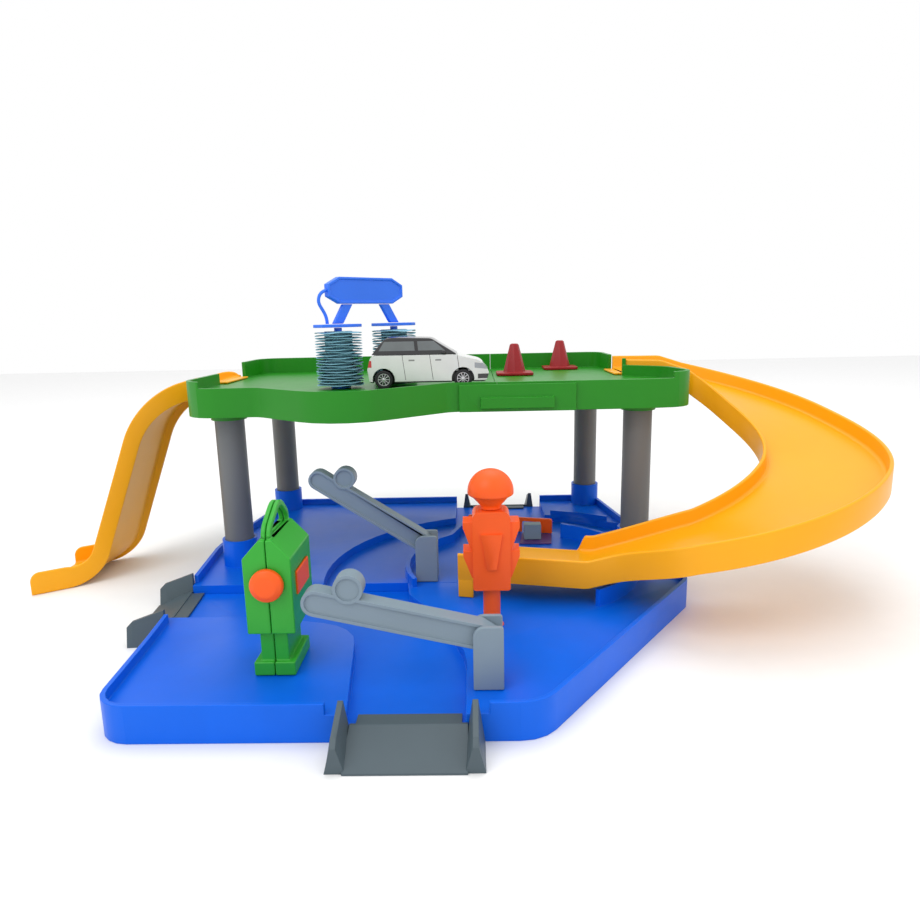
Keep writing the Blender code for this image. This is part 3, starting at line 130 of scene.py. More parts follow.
def feed(tree: bpy.types.NodeTree, place: bpy.types.NodeSocket, value: object) -> None:
    """Links a socket to an input, or sets the input to a number or colour.

    Args:
        tree: the node tree.
        place: the input to feed.
        value: what it gets.
    """
    if isinstance(value, Socket):
        tree.links.new(value.link, place)
    else:
        place.default_value = value


class Shader:
    """One material's node tree, built through a single node method."""

    def __init__(self, name: str) -> None:
        """Starts a material with its Principled shader.

        Args:
            name: the material's name.
        """
        self.material = bpy.data.materials.new(name)
        self.material.use_nodes = True
        self.tree = self.material.node_tree
        self.surface = self.tree.nodes["Principled BSDF"]
        self.place = self.node("ShaderNodeTexCoord", output="Object")

    def node(
        self,
        kind: str,
        settings: dict[str, object] | None = None,
        values: dict[str | int, object] | None = None,
        output: str | int = 0,
    ) -> Socket:
        """Adds a node.

        Args:
            kind: the node's type.
            settings: properties, set first.
            values: numbers, colours or sockets for its inputs.
            output: the output that is returned.

        Returns:
            The chosen output.
        """
        node = self.tree.nodes.new(kind)
        for key, value in (settings or {}).items():
            setattr(node, key, value)
        for key, value in (values or {}).items():
            feed(self.tree, node.inputs[key], value)
        return Socket(self.tree, node.outputs[output])

    def noise(self, scale: float, detail: float = 2.0, stretch: Sequence[float] | None = None) -> Socket:
        """Smooth noise on the piece's own coordinates.

        Args:
            scale: features per metre.
            detail: octaves.
            stretch: scale along each axis, before the noise.

        Returns:
            The noise, about 0 to 1.
        """
        where = self.place
        if stretch:
            where = self.node("ShaderNodeMapping", values={"Vector": where, "Scale": stretch})
        return self.node("ShaderNodeTexNoise", values={"Vector": where, "Scale": scale, "Detail": detail})

    def axes(self) -> tuple[Socket, Socket, Socket]:
        """Where a point of the piece is at rest.

        Returns:
            Its x, y and z in millimetres, from the mesh's rest_place attribute.
        """
        place = self.node("ShaderNodeAttribute", {"attribute_name": REST_PLACE}, output="Vector")
        return tuple(self.node("ShaderNodeSeparateXYZ", values={0: place}, output=k) for k in range(3))

    def mix(self, share: Socket, low: object, high: object) -> Socket:
        """Colour between two colours."""
        return self.node("ShaderNodeMix", {"data_type": "RGBA"}, {0: share, 6: low, 7: high}, 2)

    def bump(self, height: Socket, distance: float, strength: float, normal: Socket | None = None) -> Socket:
        """Normal from a height.

        Args:
            height: the height, about 0 to 1.
            distance: what it is multiplied by, in metres.
            strength: share of the effect.
            normal: the normal that it starts from.

        Returns:
            The new normal.
        """
        values = {"Height": height, "Distance": distance, "Strength": strength}
        if normal:
            values["Normal"] = normal
        return self.node("ShaderNodeBump", values=values)

    def surface_set(self, **values: object) -> bpy.types.Material:
        """Feeds the Principled shader.

        Args:
            values: value or socket of each input; an underscore stands for a space.

        Returns:
            The finished material.
        """
        for key, value in values.items():
            feed(self.tree, self.surface.inputs[key.replace("_", " ")], value)
        return self.material


def tone(colour: Sequence[float], factor: float) -> tuple[float, float, float, float]:
    """The colour made darker or lighter, with full alpha."""
    return (*[min(channel * factor, 1.0) for channel in colour], 1.0)


def between(value: Socket, low: float, high: float) -> Socket:
    """1 where a socket is between two numbers, otherwise 0."""
    return (value > low) * (value < high)


@dataclass(frozen=True)
class Finish:
    """A finish whose material is made once; its slot is given where it isn't the look's own name.

    In all finishes, scales are features per metre and heights are metres of bump.
    """

    name: str
    colour: tuple[float, float, float]
    roughness: float = 0.3
    _: KW_ONLY
    slot: str = ""

    def material(self) -> bpy.types.Material:
        """The finish's material, made when it is first asked for."""
        return bpy.data.materials.get(self.name) or self.mixed()


@dataclass(frozen=True)
class Lacquer(Finish):
    """A glossy finish: clear coat and orange peel."""

    coat: float = 0.5
    peel: float = 0.02
    peel_scale: float = 1500.0
    peel_height: float = 0.0001
    dust_scale: float = 160.0
    relief_height: float = 0.0003

    def peeled(self, shader: Shader) -> Socket:
        """The orange peel's normal."""
        return shader.bump(shader.noise(self.peel_scale, 1.0), self.peel_height, self.peel)


@dataclass(frozen=True)
class Plastic(Finish):
    """Injection-moulded plastic: cloudy pigment, fine grain, faint flow lines and handling marks."""

    cloud: float = 0.12
    grain: float = 0.04
    shine: float = 0.32
    cloud_scale: float = 28.0
    flow_scale: float = 90.0
    flow_share: float = 0.3
    mark_scale: float = 150.0
    grain_scale: float = 2600.0
    grain_height: float = 0.0001
    sink_height: float = 0.0008

    def mixed(self) -> bpy.types.Material:
        """Mixes the pigment, the gloss and the surface.

        Returns:
            The material.
        """
        shader = Shader(self.name)
        clouds = shader.noise(self.cloud_scale, 3.0)
        flow = shader.noise(self.flow_scale, 2.0, (1.0, 1.0, 0.15))
        marks = shader.noise(self.mark_scale, 2.0, (1.0, 0.4, 1.0))
        shade = clouds * (1 - self.flow_share) + flow * self.flow_share
        colour = shader.mix(shade, tone(self.colour, 1 - self.cloud), tone(self.colour, 1 + self.cloud))
        grain = shader.bump(shader.noise(self.grain_scale, 2.0), self.grain_height, self.grain * 3)
        return shader.surface_set(
            Base_Color=colour,
            Roughness=self.roughness + (marks - 0.5) * 0.06 + (clouds - 0.5) * 0.1,
            Normal=shader.bump(clouds, self.sink_height, 0.25, grain),
            Specular_IOR_Level=self.shine,
        )


@dataclass(frozen=True)
class Metal(Finish):
    """Drawn steel wire with fine lines along it."""

    line_scale: float = 3000.0

    def mixed(self) -> bpy.types.Material:
        """Mixes the metal and its lines.

        Returns:
            The material.
        """
        shader = Shader(self.name)
        lines = shader.noise(self.line_scale, 2.0, (1.0, 0.05, 1.0))
        colour = shader.mix(lines, tone(self.colour, 0.8), tone(self.colour, 1.1))
        rough = self.roughness + (lines - 0.5) * 0.2
        return shader.surface_set(Base_Color=colour, Roughness=rough, Metallic=1.0)


@dataclass(frozen=True)
class Glaze(Lacquer):
    """Glossy dark trim."""

    peel: float = 0.03

    def mixed(self) -> bpy.types.Material:
        """Mixes the colour, the dust and the peel.

        Returns:
            The material.
        """
        shader = Shader(self.name)
        dust = shader.noise(self.dust_scale, 4.0)
        return shader.surface_set(
            Base_Color=shader.mix(dust, tone(self.colour, 0.93), tone(self.colour, 1.05)),
            Roughness=self.roughness + (dust - 0.4) * 0.1,
            Normal=self.peeled(shader),
            Coat_Weight=self.coat,
        )


@dataclass(frozen=True)
class CarPaint(Lacquer):
    """White lacquer, greyed by painted shade, with door seams, handles, lamps, a dark sill and a low grille.

    The drawing is in millimetres in the car's rest place: x runs along the car and z up. The grille
    and the lamps start at their first number along the car; a lamp's others are its level and half height.
    """

    trim: tuple[float, float, float] = (0.02, 0.02, 0.022)
    lamp_glass: tuple[float, float, float] = (0.28, 0.3, 0.32)
    tail_glass: tuple[float, float, float] = (0.5, 0.012, 0.01)
    doors: tuple[float, ...] = (-25.5, -8.0, 9.5)
    door_z: tuple[float, float] = (137.2, 153.0)
    door_middle_z: float = 145.0
    lean: float = 0.12
    seam: float = 0.16
    handles: tuple[float, ...] = (-20.5, -3.5)
    handle_z: float = 149.6
    handle_half: tuple[float, float] = (1.9, 0.5)
    grille: tuple[float, float, float] = (21.5, 137.3, 140.3)
    sill_z: float = 136.3
    head_lamp: tuple[float, float, float] = (19.5, 145.2, 1.7)
    head_lamp_x: float = 25.0
    tail_lamp: tuple[float, float, float] = (-46.4, 147.5, 2.2)

    def mixed(self) -> bpy.types.Material:
        """Draws the car's details over its lacquer.

        Returns:
            The material.
        """
        shader = Shader(self.name)
        x, _, z = shader.axes()
        dust = shader.noise(self.dust_scale, 4.0)
        colour = shader.mix(dust, tone(self.colour, 0.94), tone(self.colour, 1.06))
        along = x + (z - self.door_middle_z) * self.lean
        seams = sum((abs(along - place) < self.seam) for place in self.doors) * between(z, *self.door_z)
        width, height = self.handle_half
        grips = sum((abs(x - place) < width) for place in self.handles) * (abs(z - self.handle_z) < height)
        grille = (x > self.grille[0]) * between(z, *self.grille[1:])
        dark = seams + grips * 0.7 + grille + (z < self.sill_z)
        start, level, half = self.head_lamp
        lamp = (x > start) * (abs(z - level + (x - self.head_lamp_x) * self.lean) < half)
        start, level, half = self.tail_lamp
        tail = (x < start) * (abs(z - level) < half)
        for share, glass in ((dark, self.trim), (lamp, self.lamp_glass), (tail, self.tail_glass)):
            colour = shader.mix(share, colour, tone(glass, 1.0))
        return shader.surface_set(
            Base_Color=colour,
            Roughness=self.roughness + (dust - 0.4) * 0.1,
            Normal=shader.bump(1.0 - seams, self.relief_height, 0.6, self.peeled(shader)),
            Coat_Weight=self.coat,
        )


@dataclass(frozen=True)
class Glasshouse(Lacquer):
    """Black roof and window frames round grey panes.

    The drawing is in millimetres in the car's rest place. A slanted edge is given by its place along
    the car at the belt's height and by its lean, millimetres along the car per millimetre of height.
    """

    glass: tuple[float, float, float] = (0.11, 0.125, 0.13)
    belt_z: float = 154.0
    pane_z: tuple[float, float] = (155.6, 161.4)
    side_front: tuple[float, float] = (2.6, 1.2)
    side_rear: tuple[float, float] = (-42.6, 0.6)
    post: tuple[float, float, float] = (-17.6, 158.0, 0.1)
    post_half: float = 1.1
    screen: tuple[float, float] = (4.2, 1.2)
    rear_screen: tuple[float, float] = (-44.2, 0.75)
    middle_y: float = 5.55
    screen_half: float = 11.6

    def mixed(self) -> bpy.types.Material:
        """Draws the panes on the black glasshouse.

        Returns:
            The material.
        """
        shader = Shader(self.name)
        x, y, z = shader.axes()
        haze = shader.noise(90.0, 3.0)
        rise = z - self.belt_z
        ahead = x + rise * self.side_front[1] < self.side_front[0]
        behind = x - rise * self.side_rear[1] > self.side_rear[0]
        post = abs(x - self.post[0] + (z - self.post[1]) * self.post[2]) > self.post_half
        middle = abs(y - self.middle_y) < self.screen_half
        front = (x + rise * self.screen[1] > self.screen[0]) * middle
        rear = (x - rise * self.rear_screen[1] < self.rear_screen[0]) * middle
        pane = between(z, *self.pane_z) * (post * (ahead * behind) * (1.0 - middle) + front + rear)
        glass = shader.mix(haze, tone(self.glass, 0.8), tone(self.glass, 1.3))
        return shader.surface_set(
            Base_Color=shader.mix(pane, tone(self.colour, 1.0), glass),
            Roughness=self.roughness + (haze - 0.5) * 0.1 + pane * -0.06,
            Normal=shader.bump(pane, self.relief_height, -0.4, self.peeled(shader)),
            Coat_Weight=self.coat,
        )


class Look(Enum):
    """Finishes; each belongs to a material slot of the record."""

    blue_plastic = Plastic("tray_blue_finish", (0.001, 0.12, 0.72), 0.34, shine=0.2)
    green_plastic = Plastic("deck_green_finish", (0.012, 0.23, 0.006), 0.36)
    pump_green = Plastic("pump_green_finish", (0.03, 0.36, 0.03), 0.34, slot="green_plastic")
    yellow_plastic = Plastic("ramp_yellow_finish", (0.9, 0.385, 0.003), 0.34, 0.06)
    orange_plastic = Plastic("signal_orange_finish", (0.92, 0.105, 0.008), 0.4, 0.06)
    pillar_grey = Plastic("pillar_grey_finish", (0.155, 0.16, 0.158), 0.42)
    gate_grey = Plastic("gate_grey_finish", (0.2, 0.262, 0.315), 0.44, 0.08)
    dark_grey = Plastic("drive_grey_finish", (0.07, 0.098, 0.115), 0.44)
    brush_blue = Plastic("brush_blue_finish", (0.22, 0.45, 0.54), 0.6, 0.1)
    wash_blue = Plastic("wash_blue_finish", (0.03, 0.17, 0.85), 0.36, 0.08)
    cone_red = Plastic("cone_red_finish", (0.3, 0.007, 0.011), 0.44, 0.1)
    label_purple = Plastic("label_purple_finish", (0.1, 0.04, 0.2), 0.45)
    # The car's colour is dimmed to a light grey with a faint green tint. Part of it is the car's own white
    # lacquer; the rest is painted shade of its shaded side and painted green bounce light from the deck.
    car_white = CarPaint("car_white_painted_shade_finish", (0.62, 0.64, 0.62), 0.22)
    car_black = Glasshouse("car_black_finish", (0.01, 0.01, 0.012), 0.16)
    trim_black = Glaze("trim_black_finish", (0.012, 0.012, 0.014), 0.3, 0.2, slot="car_black")
    tyre_black = Plastic("tyre_black_finish", (0.016, 0.016, 0.018), 0.62, 0.15, 0.08)
    axle_steel = Metal("axle_steel_finish", (0.6, 0.6, 0.62))

    @property
    def slot(self) -> str:
        """The record slot of this finish."""
        return self.value.slot or self.name


def ease(value: float, start: float, end: float) -> float:
    """Share that grows smoothly from 0 at start to 1 at end: s s (3 - 2 s)."""
    share = min(max((value - start) / (end - start), 0.0), 1.0)
    return share * share * (3 - 2 * share)


def rounded(corners: Sequence[Corner], steps: int = 5, closed: bool = True) -> np.ndarray:
    """Outline whose corners are circular arcs, tangent to both sides.

    Args:
        corners: x, y and radius of each corner; a radius of 0 keeps the corner sharp.
        steps: arc segments at each rounded corner.
        closed: whether the last corner joins the first.

    Returns:
        Points, shape (n, 2).
    """
    points: list[np.ndarray] = []
    last = len(corners) - 1
    for index, (x, y, radius) in enumerate(corners):
        corner = np.array((x, y), float)
        if radius == 0 or (not closed and index in (0, last)):
            points.append(corner[None])
            continue
        before = np.array(corners[index - 1][:2]) - corner
        after = np.array(corners[(index + 1) % len(corners)][:2]) - corner
        sides = np.hypot(*before), np.hypot(*after)
        before, after = before / sides[0], after / sides[1]
        half = math.acos(np.clip(before @ after, -1, 1)) / 2
        reach = min(radius / math.tan(half), 0.49 * min(sides))
        radius = reach * math.tan(half)
        middle = (before + after) / np.hypot(*(before + after))
        centre = corner + middle * radius / math.sin(half)
        first, final = corner + before * reach - centre, corner + after * reach - centre
        start = math.atan2(first[1], first[0])
        turn = (math.atan2(final[1], final[0]) - start + math.pi) % (2 * math.pi) - math.pi
        angles = start + turn * np.linspace(0, 1, steps + 1)
        points.append(centre + radius * np.stack((np.cos(angles), np.sin(angles)), 1))
    return np.concatenate(points)


def inset(outline: np.ndarray, distance: float) -> np.ndarray:
    """A closed outline moved inwards: each point goes by the distance along its mitred normal.

    Args:
        outline: the outline, anticlockwise.
        distance: how far it moves.

    Returns:
        The moved outline.
    """
    step = np.roll(outline, -1, 0) - outline
    normal = np.stack((-step[:, 1], step[:, 0]), 1) / np.maximum(np.hypot(*step.T), 1e-9)[:, None]
    total = normal + np.roll(normal, 1, 0)
    share = 2 / np.maximum((total**2).sum(1), 0.8)
    return outline + total * share[:, None] * distance


def clean(mesh: bpy.types.Mesh) -> bpy.types.Mesh:
    """Merges doubles, turns the faces outwards and shades the mesh smooth.

    Args:
        mesh: the mesh, which is changed.

    Returns:
        The same mesh.
    """
    shape = bmesh.new()
    shape.from_mesh(mesh)
    bmesh.ops.remove_doubles(shape, verts=shape.verts, dist=2e-6)
    bmesh.ops.dissolve_degenerate(shape, edges=shape.edges, dist=1e-6)
    bmesh.ops.recalc_face_normals(shape, faces=shape.faces)
    shape.to_mesh(mesh)
    shape.free()
    mesh.shade_smooth()
    return mesh


def merged(node: bpy.types.Object, dissolve: bool = True) -> bmesh.types.BMesh:
    """A node's solid with its doubles merged.

    Args:
        node: the CAD node.
        dissolve: whether its flat faces become one face each.

    Returns:
        The shape, to be freed by the caller.
    """
    shape = bmesh.new()
    shape.from_mesh(node.data)
    bmesh.ops.remove_doubles(shape, verts=shape.verts, dist=3e-6)
    if dissolve:
        flat = math.radians(0.6)
        bmesh.ops.dissolve_limit(shape, angle_limit=flat, verts=shape.verts, edges=shape.edges, delimit=set())
    return shape


def grid(rings: np.ndarray, wrap: bool = False, sharp: float = 40) -> bpy.types.Mesh:
    """A closed skin over a grid of points: point (i, j) joins (i + 1, j) and (i, j + 1).

    Args:
        rings: points in millimetres, shape (rows, columns, 3); columns always close.
        wrap: whether the last row joins the first; otherwise a face closes each end.
        sharp: edges over this many degrees stay sharp.

    Returns:
        The mesh, in metres.
    """
    rows, columns, _ = rings.shape
    i, j = np.meshgrid(np.arange(rows if wrap else rows - 1), np.arange(columns), indexing="ij")
    k, m = (i + 1) % rows, (j + 1) % columns
    quads = np.stack((i * columns + j, i * columns + m, k * columns + m, k * columns + j), -1)
    faces = quads.reshape(-1, 4).tolist()
    if not wrap:
        faces.append(list(range(columns))[::-1])
        faces.append(list(range((rows - 1) * columns, rows * columns)))
    mesh = bpy.data.meshes.new("skin")
    mesh.from_pydata((rings.reshape(-1, 3) * MM).tolist(), [], faces)
    clean(mesh)
    mesh.set_sharp_from_angle(angle=math.radians(sharp))
    return mesh


def turned(
    profile: np.ndarray, centre: Sequence[float], steps: int = 40, axis: str = "Z", ring: bool = False
) -> bpy.types.Mesh:
    """A profile turned round an axis: (r cos u, r sin u, z) for u from 0 to one turn.

    Args:
        profile: radius and height of each point, shape (n, 2).
        centre: the axis' foot.
        steps: facets round the axis.
        axis: Z for an upright turn, Y for one that points to the front.
        ring: whether the profile is closed and leaves a bore.

    Returns:
        The mesh.
    """
    angle = np.linspace(0, 2 * math.pi, steps, endpoint=False)
    radius, height = profile[:, :1], profile[:, 1:]
    x, y, z = radius * np.cos(angle), radius * np.sin(angle), height * np.ones_like(angle)
    rings = np.stack((x, y, z) if axis == "Z" else (x, -z, y), -1)
    return grid(rings + np.array(centre, float), wrap=ring)


def block(
    x: Sequence[float], y: Sequence[float], z: Sequence[float], edge: float, steps: int = 3
) -> bpy.types.Mesh:
    """A block between two values along each axis, its edges rounded by quarter circles.

    Args:
        x: both values along x.
        y: both along y.
        z: both along z.
        edge: radius of the rounded edges.
        steps: segments of each quarter circle.

    Returns:
        The mesh.
    """
    outline = rounded([(x[0], y[0], edge), (x[1], y[0], edge), (x[1], y[1], edge), (x[0], y[1], edge)], steps)
    angle = np.linspace(0, math.pi / 2, steps + 1)
    draw = np.concatenate((edge * (1 - np.sin(angle)), edge * (1 - np.cos(angle))))
    level = np.concatenate((z[0] + edge * (1 - np.cos(angle)), z[1] - edge + edge * np.sin(angle)))
    rings = [np.column_stack((inset(outline, d), np.full(len(outline), h))) for d, h in zip(draw, level)]
    return grid(np.array(rings), sharp=60)


def joined(*meshes: bpy.types.Mesh) -> bpy.types.Mesh:
    """Several meshes as one.

    Args:
        meshes: the meshes.

    Returns:
        A new mesh.
    """
    shape = bmesh.new()
    for mesh in meshes:
        shape.from_mesh(mesh)
    whole = bpy.data.meshes.new("joined")
    shape.to_mesh(whole)
    shape.free()
    return whole


@dataclass
class Bench:
    """Where finished pieces are put on the frame.

    Edges sharper than corner_deg are rounded. The clamped nodes' rounded edges are kept from
    meeting, and the flat faces of the unmerged ones aren't joined first.
    """

    frame: dict
    made: int = 0
    corner_deg: float = 32.0
    clamped: tuple[str, ...] = (
        *("base_front", "base_back", "deck_left", "deck_right"),
        *("signal_body", "ramp_front", "ramp_left", "ramp_back"),
    )
    unmerged: tuple[str, ...] = ("signal_body",)

    def body_of(self, node: str) -> str:
        """The body that carries a node."""
        bodies = self.frame["record"]["behaviour"]["bodies"]
        return next(body for body, nodes in bodies.items() if node in nodes)

    def add(
        self, name: str, mesh: bpy.types.Mesh, look: Look, body: str, nodes: Sequence[str] = ()
    ) -> bpy.types.Object:
        """Puts a piece on its body.

        Args:
            name: the piece's name.
            mesh: its mesh, in place.
            look: its finish, which knows its slot.
            body: the body it moves with.
            nodes: the CAD nodes that it stands for.

        Returns:
            The piece.
        """
        mesh.materials.clear()
        mesh.materials.append(look.value.material())
        piece = bpy.data.objects.new(name, mesh)
        bpy.context.scene.collection.objects.link(piece)
        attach(piece, body)
        look.slot
        if nodes:
            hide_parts(*nodes)
        self.made += 1
        LOG.info("%s on %s", name, body)
        return piece

    def bevelled(
        self, piece: bpy.types.Object, edge: float, steps: int, corner_deg: float
    ) -> bpy.types.Modifier:
        """Rounds a piece's edges.

        Args:
            piece: the piece.
            edge: the width of its rounded edges.
            steps: segments across each edge.
            corner_deg: edges sharper than this are rounded.

        Returns:
            The modifier.
        """
        bevel = piece.modifiers.new("edges", "BEVEL")
        bevel.width = edge * MM
        bevel.segments = steps
        bevel.limit_method = "ANGLE"
        bevel.angle_limit = math.radians(corner_deg)
        bevel.harden_normals = True
        return bevel

    def soften(self, node: str, look: Look, edge: float) -> bpy.types.Object:
        """A copy of a node's solid with rounded edges, which stands for it.

        Args:
            node: the CAD node.
            look: its finish.
            edge: the width of its rounded edges.

        Returns:
            The piece.
        """
        shape = merged(self.frame["nodes"][node], node not in self.unmerged)
        mesh = bpy.data.meshes.new(node)
        shape.to_mesh(mesh)
        shape.free()
        mesh.shade_smooth()
        mesh.set_sharp_from_angle(angle=math.radians(self.corner_deg))
        piece = self.add(f"{node}_shell", mesh, look, self.body_of(node), [node])
        bevel = self.bevelled(piece, edge, 3, self.corner_deg)
        bevel.use_clamp_overlap = node in self.clamped
        return piece


@dataclass
class Room:
    """Pale studio: plain floor, soft lights and the photograph's camera."""

    floor_reach: float = 2200.0
    camera_place: tuple[float, float, float] = (18.4, -455.1, 175.7)
    lens: float = 27.23
    pitch_deg: float = 11.58
    yaw_deg: float = 1.22
    roll_deg: float = -1.24

    def floor(self) -> None:
        """Lays a plain pale floor under the object."""
        mesh = bpy.data.meshes.new("floor")
        reach = self.floor_reach * MM
        corners = [(-reach, -reach, 0), (reach, -reach, 0), (reach, reach, 0), (-reach, reach, 0)]
        mesh.from_pydata(corners, [], [(0, 1, 2, 3)])
        plane = bpy.data.objects.new("floor", mesh)
        bpy.context.scene.collection.objects.link(plane)
        shader = Shader("floor_pale")
        speckle = shader.noise(60.0, 3.0)
        colour = shader.mix(speckle, (0.86, 0.86, 0.86, 1), (0.9, 0.9, 0.9, 1))
        mesh.materials.append(shader.surface_set(Base_Color=colour, Roughness=0.75))

    def lights(self) -> None:
        """Soft overhead and side lights with a white surround."""
        world = bpy.data.worlds.new("studio")
        world.use_nodes = True
        world.node_tree.nodes["Background"].inputs[0].default_value = (1, 1, 1, 1)
        world.node_tree.nodes["Background"].inputs[1].default_value = 1.0
        bpy.context.scene.world = world
        for name, place, size, power in (
            ("key", (-0.7, -0.9, 1.3), 0.9, 7.0),
            ("fill", (1.1, -0.5, 0.9), 1.1, 1.5),
            ("top", (0.1, 0.4, 1.5), 1.0, 6.0),
        ):
            lamp = bpy.data.lights.new(name, "AREA")
            lamp.size = size
            lamp.energy = power
            holder = bpy.data.objects.new(name, lamp)
            holder.location = place
            aim = Vector((0, 0, 0.06)) - Vector(place)
            holder.rotation_euler = aim.to_track_quat("-Z", "Y").to_euler()
            bpy.context.scene.collection.objects.link(holder)
        bpy.context.scene.view_settings.view_transform = "Standard"

    def camera(self) -> None:
        """Stands the camera where the photograph was taken: pitch, then yaw, then roll."""
        pitch, yaw, roll = (math.radians(v) for v in (self.pitch_deg, self.yaw_deg, self.roll_deg))
        right = Vector((math.cos(yaw), math.sin(yaw), 0))
        ahead = Vector((-math.sin(yaw), math.cos(yaw), 0))
        up = Vector((0, 0, 1))
        forward = ahead * math.cos(pitch) - up * math.sin(pitch)
        lifted = up * math.cos(pitch) + ahead * math.sin(pitch)
        side = right * math.cos(roll) + lifted * math.sin(roll)
        top = lifted * math.cos(roll) - right * math.sin(roll)
        data = bpy.data.cameras.new("photo_camera")
        data.lens = self.lens
        data.sensor_width = 36.0
        data.clip_end = 50.0
        holder = bpy.data.objects.new("photo_camera", data)
        turn = Matrix((side, top, -forward)).transposed()
        holder.matrix_world = Matrix.Translation(Vector(self.camera_place) * MM) @ turn.to_4x4()
        bpy.context.scene.collection.objects.link(holder)
        bpy.context.scene.camera = holder

    def build(self) -> None:
        """Floor, lights and camera."""
        self.floor()
        self.lights()
        self.camera()


@dataclass
class Channel:
    """What the slide and the spiral ramp share: an H-shaped section and a tongue on the deck."""

    wall: float = 2.4
    floor: float = 2.0
    fillet: float = 2.2
    tongue: float = 7.0
    tongue_thick: float = 1.4
    deck_floor: float = 131.3
    gap: float = 0.3

    def section(
        self, half: float, rim: float, bottom: float, floor_top: float, inner_rim: float | None = None
    ) -> np.ndarray:
        """One section: rounded wall tops, filleted floor.

        Args:
            half: half of the outside width.
            rim: height of the wall tops.
            bottom: height of the wall feet.
            floor_top: height of the running surface.
            inner_rim: height of the wall on the positive side, where it differs.

        Returns:
            Points (across, height).
        """
        inner, under, lip = half - self.wall, floor_top - self.floor, self.wall * 0.47
        other = rim if inner_rim is None else inner_rim
        low = max((other - floor_top) * 0.45, 0.02)
        corners = [
            (-half, bottom, 0.5),
            (-inner, bottom, 0.5),
            (-inner, under, 1.0),
            (inner, under, 1.0),
            (inner, bottom, 0.5),
            (half, bottom, 0.5),
            (half, other, lip),
            (inner, other, min(lip, low)),
            (inner, floor_top, min(self.fillet, low)),
            (-inner, floor_top, min(self.fillet, (rim - floor_top) * 0.45)),
            (-inner, rim, lip),
            (-half, rim, lip),
        ]
        return rounded(corners, 4)

    def deck_tongue(self, x: Sequence[float], y: Sequence[float]) -> bpy.types.Mesh:
        """The tongue between two values along x and y, a gap above the deck."""
        low = self.deck_floor + self.gap
        return block(x, y, (low, low + self.tongue_thick), 0.5)


@dataclass
class Slide(Channel):
    """The S slide: its section is carried along a path of straights and arcs in the slanted plane.

    With v the height that the path gains per millimetre, the walls are wall_height - steep_dip |v|
    high. At the nose and the mouth their tops fall by height (1 - sqrt(1 - s s)), s growing from 0 to 1.
    """

    start: tuple[float, float] = (-168.9, 50.5)
    direction: tuple[float, float] = (-0.8228, -0.5683)
    width: float = 55.5
    corners: tuple[Corner, ...] = ((0, 126.2, 0), (48.4, 114.6, 54), (90.3, 0.3, 44), (132, 0.3, 0))
    wall_height: float = 15.0
    steep_dip: float = 4.2
    nose: float = 5.0
    mouth: tuple[float, float] = (14.0, 6.0)
    floor_high: float = 7.2
    floor_low: float = 3.2
    samples: int = 90
    end_samples: int = 12

    def stations(self) -> np.ndarray:
        """Places along the path, evenly spaced and denser at both rounded ends.

        Returns:
            Length and height of each, shape (n, 2).
        """
        path = rounded(self.corners, 24, closed=False)
        gone = np.concatenate(([0], np.cumsum(np.hypot(*np.diff(path, axis=0).T))))
        near = np.linspace(0, 1, self.end_samples) ** 2
        evenly = np.linspace(0, gone[-1], self.samples)
        places = np.unique(np.concatenate((evenly, near * self.mouth[0], gone[-1] - near * self.nose)))
        return np.stack([np.interp(places, gone, path[:, k]) for k in range(2)], 1)

    def build(self, bench: Bench) -> None:
        """Makes the slide with the tongue that lies on the deck.

        Args:
            bench: where the piece goes.
        """
        path = self.stations()
        along = np.gradient(path, axis=0)
        along /= np.hypot(*along.T)[:, None]
        up = np.stack((-along[:, 1], along[:, 0]), 1)
        end, blend = path[-1, 0], self.corners[1][0]
        share = np.clip((path[:, 0] - blend) / (end - blend), 0, 1)
        floor_top = self.floor_high + (self.floor_low - self.floor_high) * share
        nose = np.clip(1 - (end - path[:, 0]) / self.nose, 0, 1)
        mouth = np.clip(1 - path[:, 0] / self.mouth[0], 0, 1)
        rim = self.wall_height - self.steep_dip * np.abs(along[:, 1])
        rim = rim - self.nose * (1 - np.sqrt(1 - nose**2)) - self.mouth[1] * (1 - np.sqrt(1 - mouth**2))
        rings = []
        for point, lift, top, floor in zip(path, up, rim, floor_top):
            flat = self.section(self.width / 2, top, 0, floor)
            plan = point[0] + lift[0] * flat[:, 1]
            plan = np.maximum(plan, 0) if point[0] > 0 else np.zeros(len(flat))
            x = self.start[0] + self.direction[0] * plan
            y = self.start[1] + self.direction[1] * plan + self.width / 2 + flat[:, 0]
            rings.append(np.stack((x, y, point[1] + lift[1] * flat[:, 1]), 1))
        edge = self.wall + 1
        x_span = (self.start[0] - 2, self.start[0] + self.tongue)
        y_span = (self.start[1] + edge, self.start[1] + self.width - edge)
        mesh = joined(grid(np.array(rings)), self.deck_tongue(x_span, y_span))
        bench.add("slide_channel", mesh, Look.yellow_plastic, "garage", ["slide"])


